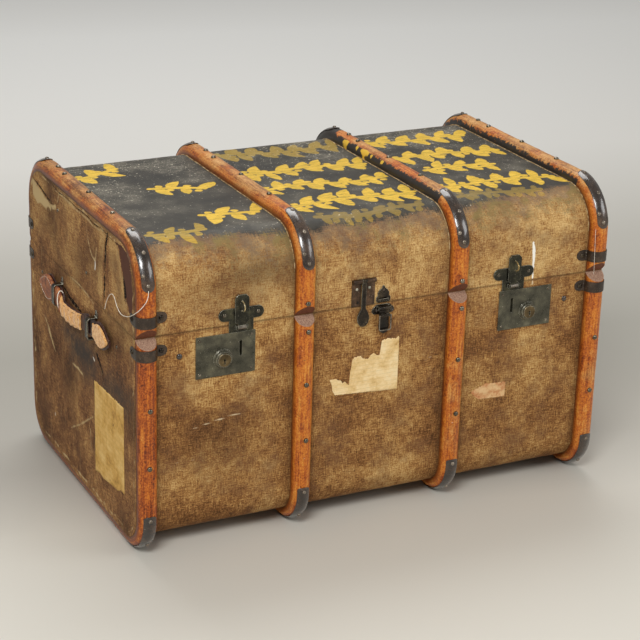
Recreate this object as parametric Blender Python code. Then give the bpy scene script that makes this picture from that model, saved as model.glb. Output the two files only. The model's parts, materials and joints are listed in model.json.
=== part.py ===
"""A canvas-covered travel trunk with bentwood slats, iron corner caps, two hasp locks and a draw clasp.

The model is in metres, +Z up and the front at -Y. The origin lies on the floor, under the trunk's middle.
Distances outwards from the canvas are called "out" below, and 0 there is the face of the canvas.
Anything named DROP or RISE is measured down or up from the seam between body and lid.
"""

import math

import bmesh
import bpy
from mathutils import Vector

# Size of the canvas box
LENGTH = 0.864
DEPTH = 0.517
BODY_HEIGHT = 0.362
LID_HEIGHT = 0.143
TOP_RADIUS = 0.068
BOTTOM_RADIUS = 0.050
WALL = 0.008
END_BOARD = 0.010

# Clearances between pieces that touch, and round a pin that turns
GAP = 0.0003
RUNNING_GAP = 0.0004

# Facets of curved surfaces
ARC_STEPS = 7
CROWN_FACETS = 7
ROLL_STEPS = 8
ROUND_SIDES = 20
PIN_SIDES = 12
WIRE_SIDES = 6
SMOOTH_ANGLE = math.radians(32)

# Bentwood slats
SLAT_WIDTH = 0.033
SLAT_HEIGHT = 0.020
SLAT_SIDE = 0.005
MIDDLE_SLAT_X = 0.142
BEVEL = {"lid": 0.020, "body": 0.014}

# Iron caps over the crown of the slats at the corners, as many facets of it wide as given
CAP_FACETS = 3
CAP_THICKNESS = 0.0012
CAP_END_ANGLE = math.radians(5)
CAP_OVERRUN = 0.010
CAP_ROUND = {"lid": 0.0085, "body": 0.0035}

# Iron straps that hold the ends of the outer slats
STRAP_THICKNESS = 0.0012
STRAP_HEIGHT = 0.019
STRAP_EAR = 0.019
STRAP_MARGIN = {"lid": 0.002, "body": 0.0005}
EAR_TAPER = ((0.55, 1.0), (0.85, 0.88), (1.0, 0.45))

# Dust lip, a strip inside the body that the lid closes over
LIP_THICKNESS = 0.006
LIP_RISE = 0.011
LIP_DROP = 0.012
LIP_SHOULDER = 0.0025
LIP_CLEARANCE = 0.0010

# Hinges
HINGE_LENGTH = 0.062
HINGE_SHEET = 0.0018
HINGE_LEAF = 0.030
HINGE_KNUCKLES = 5
HINGE_PIN_RADIUS = 0.0021
HINGE_ROLL = math.radians(300)

# Lock plates, each with its boss, staple slot and case
LOCK_LENGTH = 0.103
LOCK_HEIGHT = 0.071
LOCK_DROP = 0.0125
LOCK_SHEET = 0.002
BOSS_OUTSET = 0.005
BOSS_BELOW_MIDDLE = 0.006
BOSS_RADIUS = 0.0165
BOSS_SKIRT = 0.0017
BOSS_RISE = 0.0070
BOSS_ROUNDING = 0.0014
DRUM_RADIUS = 0.0118
DRUM_RISE = 0.0088
DRUM_DEPTH = 0.006
DRUM_ROUNDING = 0.0009
KEY_ROUND = 0.0019
KEY_SLOT_WIDTH = 0.0020
KEY_SLOT_LENGTH = 0.0068
KEY_DEPTH = 0.010
STAPLE_SLOT_WIDTH = 0.0048
STAPLE_SLOT_HEIGHT = 0.026
CASE_DEPTH = 0.0165
CASE_MARGIN = 0.006
CASE_TOP_MARGIN = 0.003
CASE_BACK = 0.0035
CASE_FIT = 0.0005

# Hasps
HASP_INSET = 0.0265
HASP_SHEET = 0.0022
HASP_EAR_SPREAD = 0.0292
HASP_EAR_RADIUS = 0.0102
HASP_EAR_RISE = 0.0185
HASP_TAB_HALF = 0.0212
HASP_PIN_DROP = 0.0038
HASP_PIN_RADIUS = 0.0014
HASP_WINDOW_HALF = 0.0078
HASP_WINDOW_HEIGHT = 0.011
HASP_LUG_WALL = 0.0016
HASP_LUG_WIDTH = 0.003
FLAP_SHEET = 0.0018
FLAP_WIDTH = 0.0245
FLAP_LENGTH = 0.055
FLAP_CORNER = 0.005
FLAP_SIDE_PLAY = 0.0006
FLAP_SHOULDER = 0.003
FLAP_LIP_WIDTH = 0.014
FLAP_LIP_SHEET = 0.0019
FLAP_LIP_CLEAR = 0.0009
SLEEVE_WALL = 0.0014
SLEEVE_CLEAR = 0.0012
STAPLE_REACH = 0.036
STAPLE_RADIUS = 0.0085
STAPLE_LEG = 0.0035
STAPLE_WIRE = 0.0013
STAPLE_STEPS = 8
STAPLE_SAG = 0.0007

# Hanging tongue between two riveted plates, left of the middle
TONGUE_X = -0.0345
TONGUE_PLATE_WIDTH = 0.0165
TONGUE_GAP = 0.009
TONGUE_PIN_RISE = 0.044
TONGUE_PLATE_SHEET = 0.0018
TONGUE_PIN_RADIUS = 0.0016
TONGUE_PIN_INSET = 0.001
TONGUE_ROLL = math.radians(280)
TONGUE_SHAFT_WIDTH = 0.0078
TONGUE_SHEET = 0.0022
TONGUE_LEAF_WIDTH = 0.022
TONGUE_LEAF_DROP = 0.004
TONGUE_END_DROP = 0.036
TONGUE_NECK = 0.006
TONGUE_LEAF_STEPS = 4

# Draw clasp, right of the middle
CLASP_X = 0.003
CLASP_SHEET = 0.0018
CATCH_WIDTH = 0.0265
CATCH_FOOT = 0.0012
CATCH_WAIST = 0.0115
CATCH_SHOULDER = 0.022
CATCH_POINT = 0.031
CATCH_LIP_RISE = 0.0065
CATCH_LIP_OUT = 0.0058
CATCH_LIP_WIDTH = 0.0164
CATCH_LIP_SHEET = 0.0016
CATCH_HOOK_RISE = 0.0022
BRACKET_EAR_SPREAD = 0.0145
BRACKET_EAR_RADIUS = 0.0062
BRACKET_EAR_DROP = 0.0125
BRACKET_TOP_DROP = 0.002
BRACKET_TOP_HALF = 0.0116
BRACKET_LUG_WIDTH = 0.0026
BRACKET_LUG_WALL = 0.0014
LEVER_PIN_DROP = 0.0075
LEVER_PIN_RADIUS = 0.0015
LEVER_EYE_WALL = 0.0021
LEVER_WIDTH = 0.0175
LEVER_SHEET = 0.0020
LEVER_END_DROP = 0.052
BAIL_PIN_DROP = 0.019
BAIL_WIRE = 0.0012
BAIL_BARREL_WALL = 0.0015
BAIL_RIB = 0.0013
BAIL_WIDTH = 0.0235
BAIL_REACH = 0.027
BAIL_BEND = 0.003

# Slide handles on the ends
HANDLE_DROP = 0.043
LOOP_Y = 0.085
LOOP_WIDTH = 0.0115
LOOP_SHEET = 0.0018
LOOP_FOOT = 0.013
LOOP_FOOT_TIP = 0.0035
LOOP_PLAY = 0.0004
GRIP_LENGTH = 0.326
GRIP_TAB_HEIGHT = 0.046
GRIP_TAB_TIP = 0.012
GRIP_NECK_HEIGHT = 0.034
GRIP_NECK_MARGIN = 0.003
GRIP_SWELL = 0.0035
GRIP_THICKNESS = 0.0120
GRIP_STANDOFF = 0.0055
GRIP_TAB_STEPS = 7
GRIP_MIDDLE_STEPS = 5
GRIP_CORNER = 0.0038
GRIP_CORNER_STEPS = 2
TORN_TAB_THICKNESS = 0.0074
TORN_MIDDLE_THICKNESS = 0.0084
TORN_ROUGHNESS = 0.0008

# How far a cutter runs past what it cuts
CUT_PAST = 0.020

# Derived places
HALF_LENGTH = LENGTH / 2
HALF_DEPTH = DEPTH / 2
CANVAS_BOTTOM = SLAT_HEIGHT + GAP + CAP_THICKNESS
SEAM = CANVAS_BOTTOM + BODY_HEIGHT
CANVAS_TOP = SEAM + LID_HEIGHT
OUTER_SLAT_X = HALF_LENGTH - SLAT_WIDTH / 2
SLAT_PLACES = {
    "left_end": -OUTER_SLAT_X,
    "left": -MIDDLE_SLAT_X,
    "right": MIDDLE_SLAT_X,
    "right_end": OUTER_SLAT_X,
}
BAY_X = (MIDDLE_SLAT_X + OUTER_SLAT_X) / 2
HASP_X = BAY_X - HASP_INSET
BOSS_X = BAY_X + BOSS_OUTSET
LOCK_FACE = GAP + LOCK_SHEET
TURN = {"lid": 1, "body": -1}
CORNER_RADIUS = {"lid": TOP_RADIUS, "body": BOTTOM_RADIUS}
FLAT_Z = {"lid": CANVAS_TOP, "body": CANVAS_BOTTOM}

# Distances out of the pins, from what stands between them and the canvas
HINGE_AXIS_OUT = GAP + HINGE_SHEET + RUNNING_GAP + HINGE_PIN_RADIUS
HASP_PIN_OUT = SLEEVE_CLEAR + SLEEVE_WALL + RUNNING_GAP + HASP_PIN_RADIUS
TONGUE_PIN_OUT = GAP + TONGUE_PLATE_SHEET + RUNNING_GAP + TONGUE_PIN_RADIUS
LEVER_PIN_OUT = GAP + CLASP_SHEET + RUNNING_GAP + LEVER_EYE_WALL + RUNNING_GAP + LEVER_PIN_RADIUS
BAIL_BARREL_RADIUS = BAIL_WIRE + BAIL_BARREL_WALL
BAIL_OUT = LEVER_PIN_OUT + LEVER_SHEET / 2 + BAIL_RIB + BAIL_BARREL_RADIUS
LOOP_INSIDE_OUT = GRIP_STANDOFF + GRIP_THICKNESS + LOOP_PLAY
LOOP_SHOULDER = GRIP_CORNER + LOOP_PLAY

# The handle's neck, which runs through a loop
NECK_START = LOOP_Y - LOOP_WIDTH / 2 - GRIP_NECK_MARGIN
NECK_END = LOOP_Y + LOOP_WIDTH / 2 + GRIP_NECK_MARGIN
HINGE_AXIS = Vector((0, HALF_DEPTH + HINGE_AXIS_OUT, SEAM))


def make_material(name, colour, roughness, metallic):
    """A plain Principled material for one finish."""
    material = bpy.data.materials.new(name)
    material.use_nodes = True
    shader = material.node_tree.nodes["Principled BSDF"]
    shader.inputs["Base Color"].default_value = (*colour, 1)
    shader.inputs["Roughness"].default_value = roughness
    shader.inputs["Metallic"].default_value = metallic
    material.diffuse_color = (*colour, 1)
    return material


# Places on the four walls


def front(x, out, z):
    return Vector((x, -HALF_DEPTH - out, z))


def back(x, out, z):
    return Vector((x, HALF_DEPTH + out, z))


def left_end(y, out, z):
    return Vector((-HALF_LENGTH - out, y, z))


def right_end(y, out, z):
    return Vector((HALF_LENGTH + out, y, z))


# Solids from points


def add_object(name, points, faces, material, pivot=None):
    """An object from points and faces in world space, hung on its pivot empty if it moves."""
    mesh = bpy.data.meshes.new(name)
    mesh.from_pydata([tuple(point) for point in points], [], faces)
    shape = bmesh.new()
    shape.from_mesh(mesh)
    bmesh.ops.recalc_face_normals(shape, faces=shape.faces)
    shape.to_mesh(mesh)
    shape.free()
    mesh.materials.append(material)
    mesh.shade_smooth()
    mesh.set_sharp_from_angle(angle=SMOOTH_ANGLE)
    solid = bpy.data.objects.new(name, mesh)
    bpy.context.scene.collection.objects.link(solid)
    if pivot:
        solid.parent = pivot
        solid.location = -pivot.matrix_world.translation
    return solid


def add_pivot(name, place, parent=None):
    """An empty on a joint's axis, which the moving pieces hang on."""
    pivot = bpy.data.objects.new(name, None)
    pivot.empty_display_size = 0.03
    pivot.location = place
    bpy.context.scene.collection.objects.link(pivot)
    if parent:
        pivot.parent = parent
        pivot.location = place - parent.matrix_world.translation
    bpy.context.view_layer.update()
    return pivot


def combine(solid, other, operation):
    """Adds the other shape to a solid, or cuts it away, and keeps the other as a hidden helper."""
    boolean = solid.modifiers.new(other.name, "BOOLEAN")
    boolean.operation = operation
    boolean.object = other
    other.hide_render = True
    other.display_type = "WIRE"


def sheet_points(outer, inner):
    """Points and faces of the solid between two grids of points that run side by side."""
    rows = len(outer)
    columns = len(outer[0])
    points = [point for row in outer for point in row] + [point for row in inner for point in row]
    faces = []
    for row in range(rows - 1):
        for column in range(columns - 1):
            start = row * columns + column
            square = (start, start + 1, start + columns + 1, start + columns)
            faces.append(square)
            faces.append(tuple(index + rows * columns for index in reversed(square)))
    rim = list(range(columns))
    rim += [row * columns + columns - 1 for row in range(1, rows)]
    rim += [(rows - 1) * columns + column for column in range(columns - 2, -1, -1)]
    rim += [row * columns for row in range(rows - 2, 0, -1)]
    for index, start in enumerate(rim):
        end = rim[(index + 1) % len(rim)]
        faces.append((start, start + rows * columns, end + rows * columns, end))
    return points, faces


def ring_faces(rows, count, closed):
    """The faces between rings of points. A closed run of rings has no ends, and an open one gets two."""
    faces = []
    for row in range(rows if closed else rows - 1):
        here = row * count
        onward = (row + 1) % rows * count
        for index in range(count):
            following = (index + 1) % count
            faces.append((here + index, here + following, onward + following, onward + index))
    if not closed:
        faces.append(tuple(range(count)))
        faces.append(tuple(range(rows * count - 1, (rows - 1) * count - 1, -1)))
    return faces


def add_loft(name, rings, material, pivot=None, closed=False):
    """The solid that runs through rings of equal count."""
    points = [point for ring in rings for point in ring]
    faces = ring_faces(len(rings), len(rings[0]), closed)
    return add_object(name, points, faces, material, pivot)


def add_plate(name, outline, wall, low, high, material, pivot=None):
    """A flat plate on a wall: an (across, z) outline carried from one distance out to another."""
    rings = [[wall(across, out, z) for across, z in outline] for out in (low, high)]
    return add_loft(name, rings, material, pivot)


def add_front_block(name, x_range, out_range, z_range, material):
    """A box on the front, from ranges across, out and up."""
    low_x, high_x = sorted(x_range)
    low_z, high_z = z_range
    outline = [(low_x, low_z), (high_x, low_z), (high_x, high_z), (low_x, high_z)]
    return add_plate(name, outline, front, out_range[0], out_range[1], material)


def add_round(name, centre, direction, profile, material, sides=ROUND_SIDES, pivot=None):
    """A turned solid: a list of (distance along, radius) carried round the line through the centre."""
    axis = Vector(direction).normalized()
    side = axis.orthogonal().normalized()
    other = axis.cross(side)
    rings = []
    for along, radius in profile:
        ring = []
        for index in range(sides):
            angle = math.tau * index / sides
            ring.append(centre + axis * along + (side * math.cos(angle) + other * math.sin(angle)) * radius)
        rings.append(ring)
    return add_loft(name, rings, material, pivot)


def add_bar(name, centre, half_length, radius, material, chamfer=0.0):
    """A straight bar along X, with chamfered ends if asked."""
    profile = [(-half_length, radius - chamfer), (half_length, radius - chamfer)]
    if chamfer:
        profile[1:1] = [(-half_length + chamfer, radius), (half_length - chamfer, radius)]
    return add_round(name, centre, (1, 0, 0), profile, material, PIN_SIDES)


def arc(centre, radius, start, end, steps):
    """Points of an arc in a plane, both ends included, with its angles in degrees."""
    points = []
    for index in range(steps + 1):
        angle = math.radians(start + (end - start) * index / steps)
        points.append((centre[0] + radius * math.cos(angle), centre[1] + radius * math.sin(angle)))
    return points


def mirrored(right_edge, middle):
    """A closed outline from its right-hand edge. A point on the middle line isn't repeated."""
    outline = [(middle + across, z) for across, z in right_edge]
    outline += [(middle - across, z) for across, z in reversed(right_edge) if across > 0]
    return outline


def offset_line(line, distance):
    """A line of points in a plane moved sideways, to its left, with mitred bends."""
    moved = []
    for index, point in enumerate(line):
        before = Vector(line[max(index - 1, 0)])
        after = Vector(line[min(index + 1, len(line) - 1)])
        here = Vector(point)
        into = (here - before).normalized() if index else (after - here).normalized()
        onward = (after - here).normalized() if index < len(line) - 1 else into
        left_in = Vector((-into.y, into.x))
        left_on = Vector((-onward.y, onward.x))
        middle = (left_in + left_on).normalized()
        moved.append(tuple(here + middle * distance / max(middle.dot(left_in), 0.4)))
    return moved


def add_ribbon(name, line, thickness, half_widths, place, material, pivot=None):
    """A strip of sheet metal: a bent line with a thickness to its left and a half width at each point."""
    side = offset_line(line, thickness)
    inner = [[place(point, -half), place(point, half)] for point, half in zip(line, half_widths)]
    outer = [[place(point, -half), place(point, half)] for point, half in zip(side, half_widths)]
    points, faces = sheet_points(outer, inner)
    return add_object(name, points, faces, material, pivot)


def strip_at(wall, x):
    """The place function of a strip that bends in the (out, z) plane and is centred on x."""

    def place(point, width):
        return wall(x + width, point[0], point[1])

    return place


# Boards and slats


def trunk_line(part, out):
    """The (y, z) line round the lid or the body, out from the canvas, from front seam to back seam."""
    turn = TURN[part]
    radius = CORNER_RADIUS[part]
    seam_z = SEAM + turn * GAP / 2
    centre_y = HALF_DEPTH - radius
    centre_z = FLAT_Z[part] - turn * radius
    line = [(-HALF_DEPTH - out, seam_z)]
    for side, start, end in ((-1, 0, 90), (1, 90, 0)):
        for across, up in arc((0, 0), radius + out, start, end, ARC_STEPS):
            line.append((side * (centre_y + across), centre_z + turn * up))
    line.append((HALF_DEPTH + out, seam_z))
    return line


def crown_profile(extra=0.0):
    """The slat's section as (across, out), grown by an extra: straight sides and an arched crown."""
    half = SLAT_WIDTH / 2 + extra
    rise = SLAT_HEIGHT + extra - SLAT_SIDE
    highest = max(math.sin(math.pi * index / CROWN_FACETS) for index in range(CROWN_FACETS + 1))
    profile = [(-half, GAP)]
    for across, up in arc((0, 0), 1.0, 180, 0, CROWN_FACETS):
        profile.append((half * across, SLAT_SIDE + rise * up / highest))
    profile.append((half, GAP))
    return profile


def capped_points():
    """Which points of the slat's section lie under a cap: the middle facets of the crown."""
    first = 1 + (CROWN_FACETS - CAP_FACETS) // 2
    return range(first, first + CAP_FACETS + 1)


def cap_profile(extra):
    """The part of the crown that a cap covers, with a point halfway along each facet."""
    crown = crown_profile(extra)
    corners = [crown[index] for index in capped_points()]
    profile = [corners[0]]
    for before, after in zip(corners, corners[1:]):
        profile.append(((before[0] + after[0]) / 2, (before[1] + after[1]) / 2))
        profile.append(after)
    return profile


def stepped_profile():
    """The slat's section with its crown raised, where a cap covers it, by the cap's thickness."""
    profile = crown_profile()
    raised = crown_profile(GAP + CAP_THICKNESS)
    for index in capped_points():
        profile[index] = raised[index]
    return profile


def add_shell(part, material, pivot=None):
    """The bent board of the front, top or bottom, and back, between the two end boards."""
    half = HALF_LENGTH - END_BOARD - GAP
    grids = []
    for out in (0, -WALL):
        grids.append([[Vector((x, y, z)) for x in (-half, half)] for y, z in trunk_line(part, out)])
    points, faces = sheet_points(grids[0], grids[1])
    return add_object(part + "_shell", points, faces, material, pivot)


def add_end_board(part, side, direction, material, pivot=None):
    """The flat board that closes one end of the lid or the body."""
    outline = trunk_line(part, 0)
    rings = []
    for inset in (END_BOARD, 0):
        rings.append([Vector((direction * (HALF_LENGTH - inset), y, z)) for y, z in outline])
    return add_loft(f"{part}_end_{side}", rings, material, pivot)


def slat_rings(part, x, profile):
    """A section of the slat at each station round the trunk, with the ends by the seam bevelled."""
    stations = len(trunk_line(part, 0))
    rings = [[] for _ in range(stations)]
    for across, out in profile:
        for index, (y, z) in enumerate(trunk_line(part, out)):
            lift = BEVEL[part] * out / SLAT_HEIGHT if index in (0, stations - 1) else 0
            rings[index].append(Vector((x + across, y, z + TURN[part] * lift)))
    return rings


def moved_ring(ring, y, z):
    return [point + Vector((0, y, z)) for point in ring]


def add_slat(part, place_name, x, material, pivot=None):
    """One bentwood slat, bent round the front, top or bottom, and back.

    The body's slats carry their bottom back cap, which never shows, as a step in their own crown.
    """
    rings = slat_rings(part, x, crown_profile())
    if part == "body":
        stepped = slat_rings(part, x, stepped_profile())
        first = ARC_STEPS + 2
        last = 2 * ARC_STEPS + 2
        foot = CAP_OVERRUN + CAP_THICKNESS
        run = rings[:first]
        run.append(moved_ring(rings[first], -foot, 0))
        run.append(moved_ring(stepped[first], -CAP_OVERRUN, 0))
        run += stepped[first : last + 1]
        run.append(moved_ring(stepped[last], 0, CAP_OVERRUN))
        run.append(moved_ring(rings[last], 0, foot))
        rings = run + rings[last + 1 :]
    return add_loft(f"{part}_slat_{place_name}", rings, material, pivot)


def cap_line(part, side, out):
    """The (y, z) line of a cap over its corner's facets, from its end on the wall to its end on the flat.

    A lid cap stops short of its arc's ends, and a body cap runs on past them.
    """
    turn = TURN[part]
    radius = CORNER_RADIUS[part]
    corner = [Vector(point) for point in arc((0, 0), radius + out, 0, 90, ARC_STEPS)]
    if part == "lid":
        share = CAP_END_ANGLE / (math.pi / 2 / ARC_STEPS)
        corner[0] = corner[0].lerp(corner[1], share)
        corner[-1] = corner[-1].lerp(corner[-2], share)
    else:
        corner.insert(0, corner[0] - Vector((0, CAP_OVERRUN)))
        corner.append(corner[-1] - Vector((CAP_OVERRUN, 0)))
    centre_y = HALF_DEPTH - radius
    centre_z = FLAT_Z[part] - turn * radius
    return [Vector((0, side * (centre_y + point.x), centre_z + turn * point.y)) for point in corner]


def add_cap(part, side_name, side, place_name, x, material, pivot=None):
    """A thin iron tongue along a slat's crown at a corner, with both its ends rounded."""
    grids = []
    for extra in (GAP + CAP_THICKNESS, GAP):
        profile = cap_profile(extra)
        half = profile[-1][0]
        columns = []
        for across, out in profile:
            reach = min(abs(across) / half, 1.0)
            rounding = CAP_ROUND[part] * (1 - math.sqrt(1 - reach * reach))
            line = cap_line(part, side, out)
            for end, inward in ((0, 1), (-1, -2)):
                edge = line[inward] - line[end]
                cut = min(rounding, 0.9 * edge.length)
                line[end] = line[end] + edge.normalized() * cut
            columns.append([point + Vector((x + across, 0, 0)) for point in line])
        grids.append([list(row) for row in zip(*columns)])
    points, faces = sheet_points(grids[0], grids[1])
    return add_object(f"{part}_cap_{side_name}_{place_name}", points, faces, material, pivot)


def add_strap(part, side_name, wall, place_name, direction, material, pivot=None):
    """An iron strap over an outer slat's end, with one ear on the canvas and one on the end board."""
    rise = BEVEL[part] + STRAP_MARGIN[part] + STRAP_HEIGHT / 2
    centre_z = SEAM + TURN[part] * rise
    edge = SLAT_WIDTH / 2 + GAP
    half = STRAP_HEIGHT / 2
    line = [(-edge - STRAP_EAR * share, GAP) for share, _ in reversed(EAR_TAPER)]
    widths = [half * width for _, width in reversed(EAR_TAPER)]
    crown = crown_profile(GAP)
    line += crown
    widths += [half] * len(crown)
    line += [(edge, -STRAP_EAR * share) for share, _ in EAR_TAPER]
    widths += [half * width for _, width in EAR_TAPER]
    x = direction * OUTER_SLAT_X

    def place(point, height):
        return wall(x + direction * point[0], point[1], centre_z + height)

    name = f"{part}_strap_{side_name}_{place_name}"
    return add_ribbon(name, line, STRAP_THICKNESS, widths, place, material, pivot)


def add_dust_lip(material):
    """The wooden strip round the inside of the body that stands up into the lid, with a shoulder."""
    outer_x = HALF_LENGTH - END_BOARD
    outer_y = HALF_DEPTH - WALL
    section = [(GAP, -LIP_DROP), (GAP, -GAP), (LIP_CLEARANCE, LIP_SHOULDER), (LIP_CLEARANCE, LIP_RISE)]
    section += [(LIP_THICKNESS, LIP_RISE), (LIP_THICKNESS, -LIP_DROP)]
    rings = []
    for inset, height in section:
        half_x = outer_x - inset
        half_y = outer_y - inset
        corners = ((-half_x, -half_y), (half_x, -half_y), (half_x, half_y), (-half_x, half_y))
        rings.append([Vector((x, y, SEAM + height)) for x, y in corners])
    return add_loft("body_dust_lip", rings, material, closed=True)


# Hinges


def rolled_line(axis_out, axis_z, sheet, leaf, turn, roll):
    """The (out, z) line along one face of a leaf that runs to a pin and rolls round it.

    The leaf lies above the pin where turn is 1, and below it where turn is -1.
    """
    radius = axis_out - GAP - sheet / 2
    middle = [(GAP + sheet / 2, axis_z + turn * leaf)]
    for index in range(ROLL_STEPS + 1):
        angle = math.pi + turn * roll * index / ROLL_STEPS
        middle.append((axis_out + radius * math.cos(angle), axis_z + radius * math.sin(angle)))
    return offset_line(middle, -sheet / 2)


def add_hinge_leaf(name, x, knuckles, turn, iron, pivot=None):
    """One leaf of a hinge on the back, with a knuckle rolled round the pin at each (start, end) given."""
    roll_radius = HINGE_AXIS_OUT - GAP
    near = SEAM + turn * (roll_radius + RUNNING_GAP)
    far = SEAM + turn * HINGE_LEAF
    half = HINGE_LENGTH / 2
    outline = [(x - half, near), (x + half, near), (x + half, far), (x - half, far)]
    leaf = add_plate(name, outline, back, GAP, GAP + HINGE_SHEET, iron, pivot)
    line = rolled_line(HINGE_AXIS_OUT, SEAM, HINGE_SHEET, roll_radius * 1.8, turn, HINGE_ROLL)
    for index, (start, end) in enumerate(knuckles):
        widths = [(end - start) / 2] * len(line)
        place = strip_at(back, (start + end) / 2)
        knuckle = add_ribbon(f"{name}_knuckle_{index}", line, HINGE_SHEET, widths, place, iron)
        combine(leaf, knuckle, "UNION")
    return leaf


def add_hinge(side, x, iron, lid_pivot):
    """A butt hinge on the back: the body's leaf holds the pin, and the lid's two knuckles turn on it."""
    pitch = HINGE_LENGTH / HINGE_KNUCKLES
    knuckles = []
    for index in range(HINGE_KNUCKLES):
        start = x - HINGE_LENGTH / 2 + pitch * index
        knuckles.append((start + RUNNING_GAP / 2, start + pitch - RUNNING_GAP / 2))
    body_leaf = add_hinge_leaf(f"body_hinge_{side}", x, knuckles[0::2], -1, iron)
    add_hinge_leaf(f"lid_hinge_{side}", x, knuckles[1::2], 1, iron, lid_pivot)
    for index, knuckle in enumerate((knuckles[0], knuckles[-1])):
        centre = back(sum(knuckle) / 2, HINGE_AXIS_OUT, SEAM)
        radius = HINGE_PIN_RADIUS + RUNNING_GAP + GAP
        plug = add_bar(f"hinge_plug_{side}_{index}", centre, pitch / 2 - RUNNING_GAP, radius, iron)
        combine(body_leaf, plug, "UNION")
    centre = back(x, HINGE_AXIS_OUT, SEAM)
    chamfer = HINGE_PIN_RADIUS / 4
    pin = add_bar(f"hinge_pin_{side}", centre, HINGE_LENGTH / 2, HINGE_PIN_RADIUS, iron, chamfer)
    combine(body_leaf, pin, "UNION")


# Locks and hasps


def add_lock(side, sign, steel, drum_steel, shell):
    """A lock: its plate, round boss and case in one piece, and the keyed drum that turns in the boss."""
    outwards = (0, -1, 0)
    plate_x = sign * BAY_X
    plate_z = SEAM - LOCK_DROP - LOCK_HEIGHT / 2
    slot_x = sign * HASP_X
    slot_z = SEAM - HASP_PIN_DROP - STAPLE_REACH - STAPLE_SAG
    boss_x = sign * BOSS_X
    boss_z = plate_z - BOSS_BELOW_MIDDLE
    boss_centre = front(boss_x, 0, boss_z)
    plate = add_front_block(
        f"lock_plate_{side}",
        (plate_x - LOCK_LENGTH / 2, plate_x + LOCK_LENGTH / 2),
        (GAP, LOCK_FACE),
        (plate_z - LOCK_HEIGHT / 2, plate_z + LOCK_HEIGHT / 2),
        steel,
    )

    case_x = (
        min(slot_x - STAPLE_SLOT_WIDTH, boss_x - DRUM_RADIUS) - CASE_MARGIN,
        max(slot_x + STAPLE_SLOT_WIDTH, boss_x + DRUM_RADIUS) + CASE_MARGIN,
    )
    case_z = (boss_z - DRUM_RADIUS - CASE_MARGIN, slot_z + STAPLE_SLOT_HEIGHT / 2 + CASE_TOP_MARGIN)
    case = add_front_block(f"lock_case_{side}", case_x, (-CASE_DEPTH, LOCK_FACE / 2), case_z, steel)
    combine(plate, case, "UNION")

    shoulder = BOSS_RADIUS - BOSS_SKIRT
    boss_profile = [
        (LOCK_FACE / 2, BOSS_RADIUS),
        (LOCK_FACE + BOSS_SKIRT / 3, BOSS_RADIUS),
        (LOCK_FACE + BOSS_SKIRT, shoulder),
        (LOCK_FACE + BOSS_RISE - BOSS_ROUNDING, shoulder),
        (LOCK_FACE + BOSS_RISE, shoulder - BOSS_ROUNDING),
    ]
    boss = add_round(f"lock_boss_{side}", boss_centre, outwards, boss_profile, steel)
    combine(plate, boss, "UNION")

    bore_radius = DRUM_RADIUS + RUNNING_GAP
    bore_profile = [(-DRUM_DEPTH - GAP, bore_radius), (LOCK_FACE + BOSS_RISE + CUT_PAST, bore_radius)]
    bore = add_round(f"lock_bore_{side}", boss_centre, outwards, bore_profile, steel)
    combine(plate, bore, "DIFFERENCE")
    slot = add_front_block(
        f"lock_slot_{side}",
        (slot_x - STAPLE_SLOT_WIDTH / 2, slot_x + STAPLE_SLOT_WIDTH / 2),
        (CASE_BACK - CASE_DEPTH, CUT_PAST),
        (slot_z - STAPLE_SLOT_HEIGHT / 2, slot_z + STAPLE_SLOT_HEIGHT / 2),
        steel,
    )
    combine(plate, slot, "DIFFERENCE")
    recess = add_front_block(
        f"shell_lock_cut_{side}",
        (case_x[0] - CASE_FIT, case_x[1] + CASE_FIT),
        (-CUT_PAST, CUT_PAST),
        (case_z[0] - CASE_FIT, case_z[1] + CASE_FIT),
        steel,
    )
    combine(shell, recess, "DIFFERENCE")

    drum_pivot = add_pivot(f"key_pivot_{side}", boss_centre)
    drum_face = LOCK_FACE + DRUM_RISE
    drum_profile = [
        (-DRUM_DEPTH, DRUM_RADIUS),
        (drum_face - DRUM_ROUNDING, DRUM_RADIUS),
        (drum_face, DRUM_RADIUS - DRUM_ROUNDING),
    ]
    drum = add_round(f"key_drum_{side}", boss_centre, outwards, drum_profile, drum_steel, pivot=drum_pivot)
    key_floor = drum_face - KEY_DEPTH
    key_profile = [(key_floor, KEY_ROUND), (drum_face + CUT_PAST, KEY_ROUND)]
    key_round = add_round(f"key_round_{side}", boss_centre, outwards, key_profile, drum_steel, PIN_SIDES)
    key_slot = add_front_block(
        f"key_slot_{side}",
        (boss_x - KEY_SLOT_WIDTH / 2, boss_x + KEY_SLOT_WIDTH / 2),
        (key_floor + GAP, drum_face + CUT_PAST),
        (boss_z - KEY_SLOT_LENGTH, boss_z),
        drum_steel,
    )
    combine(drum, key_round, "DIFFERENCE")
    combine(drum, key_slot, "DIFFERENCE")


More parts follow.
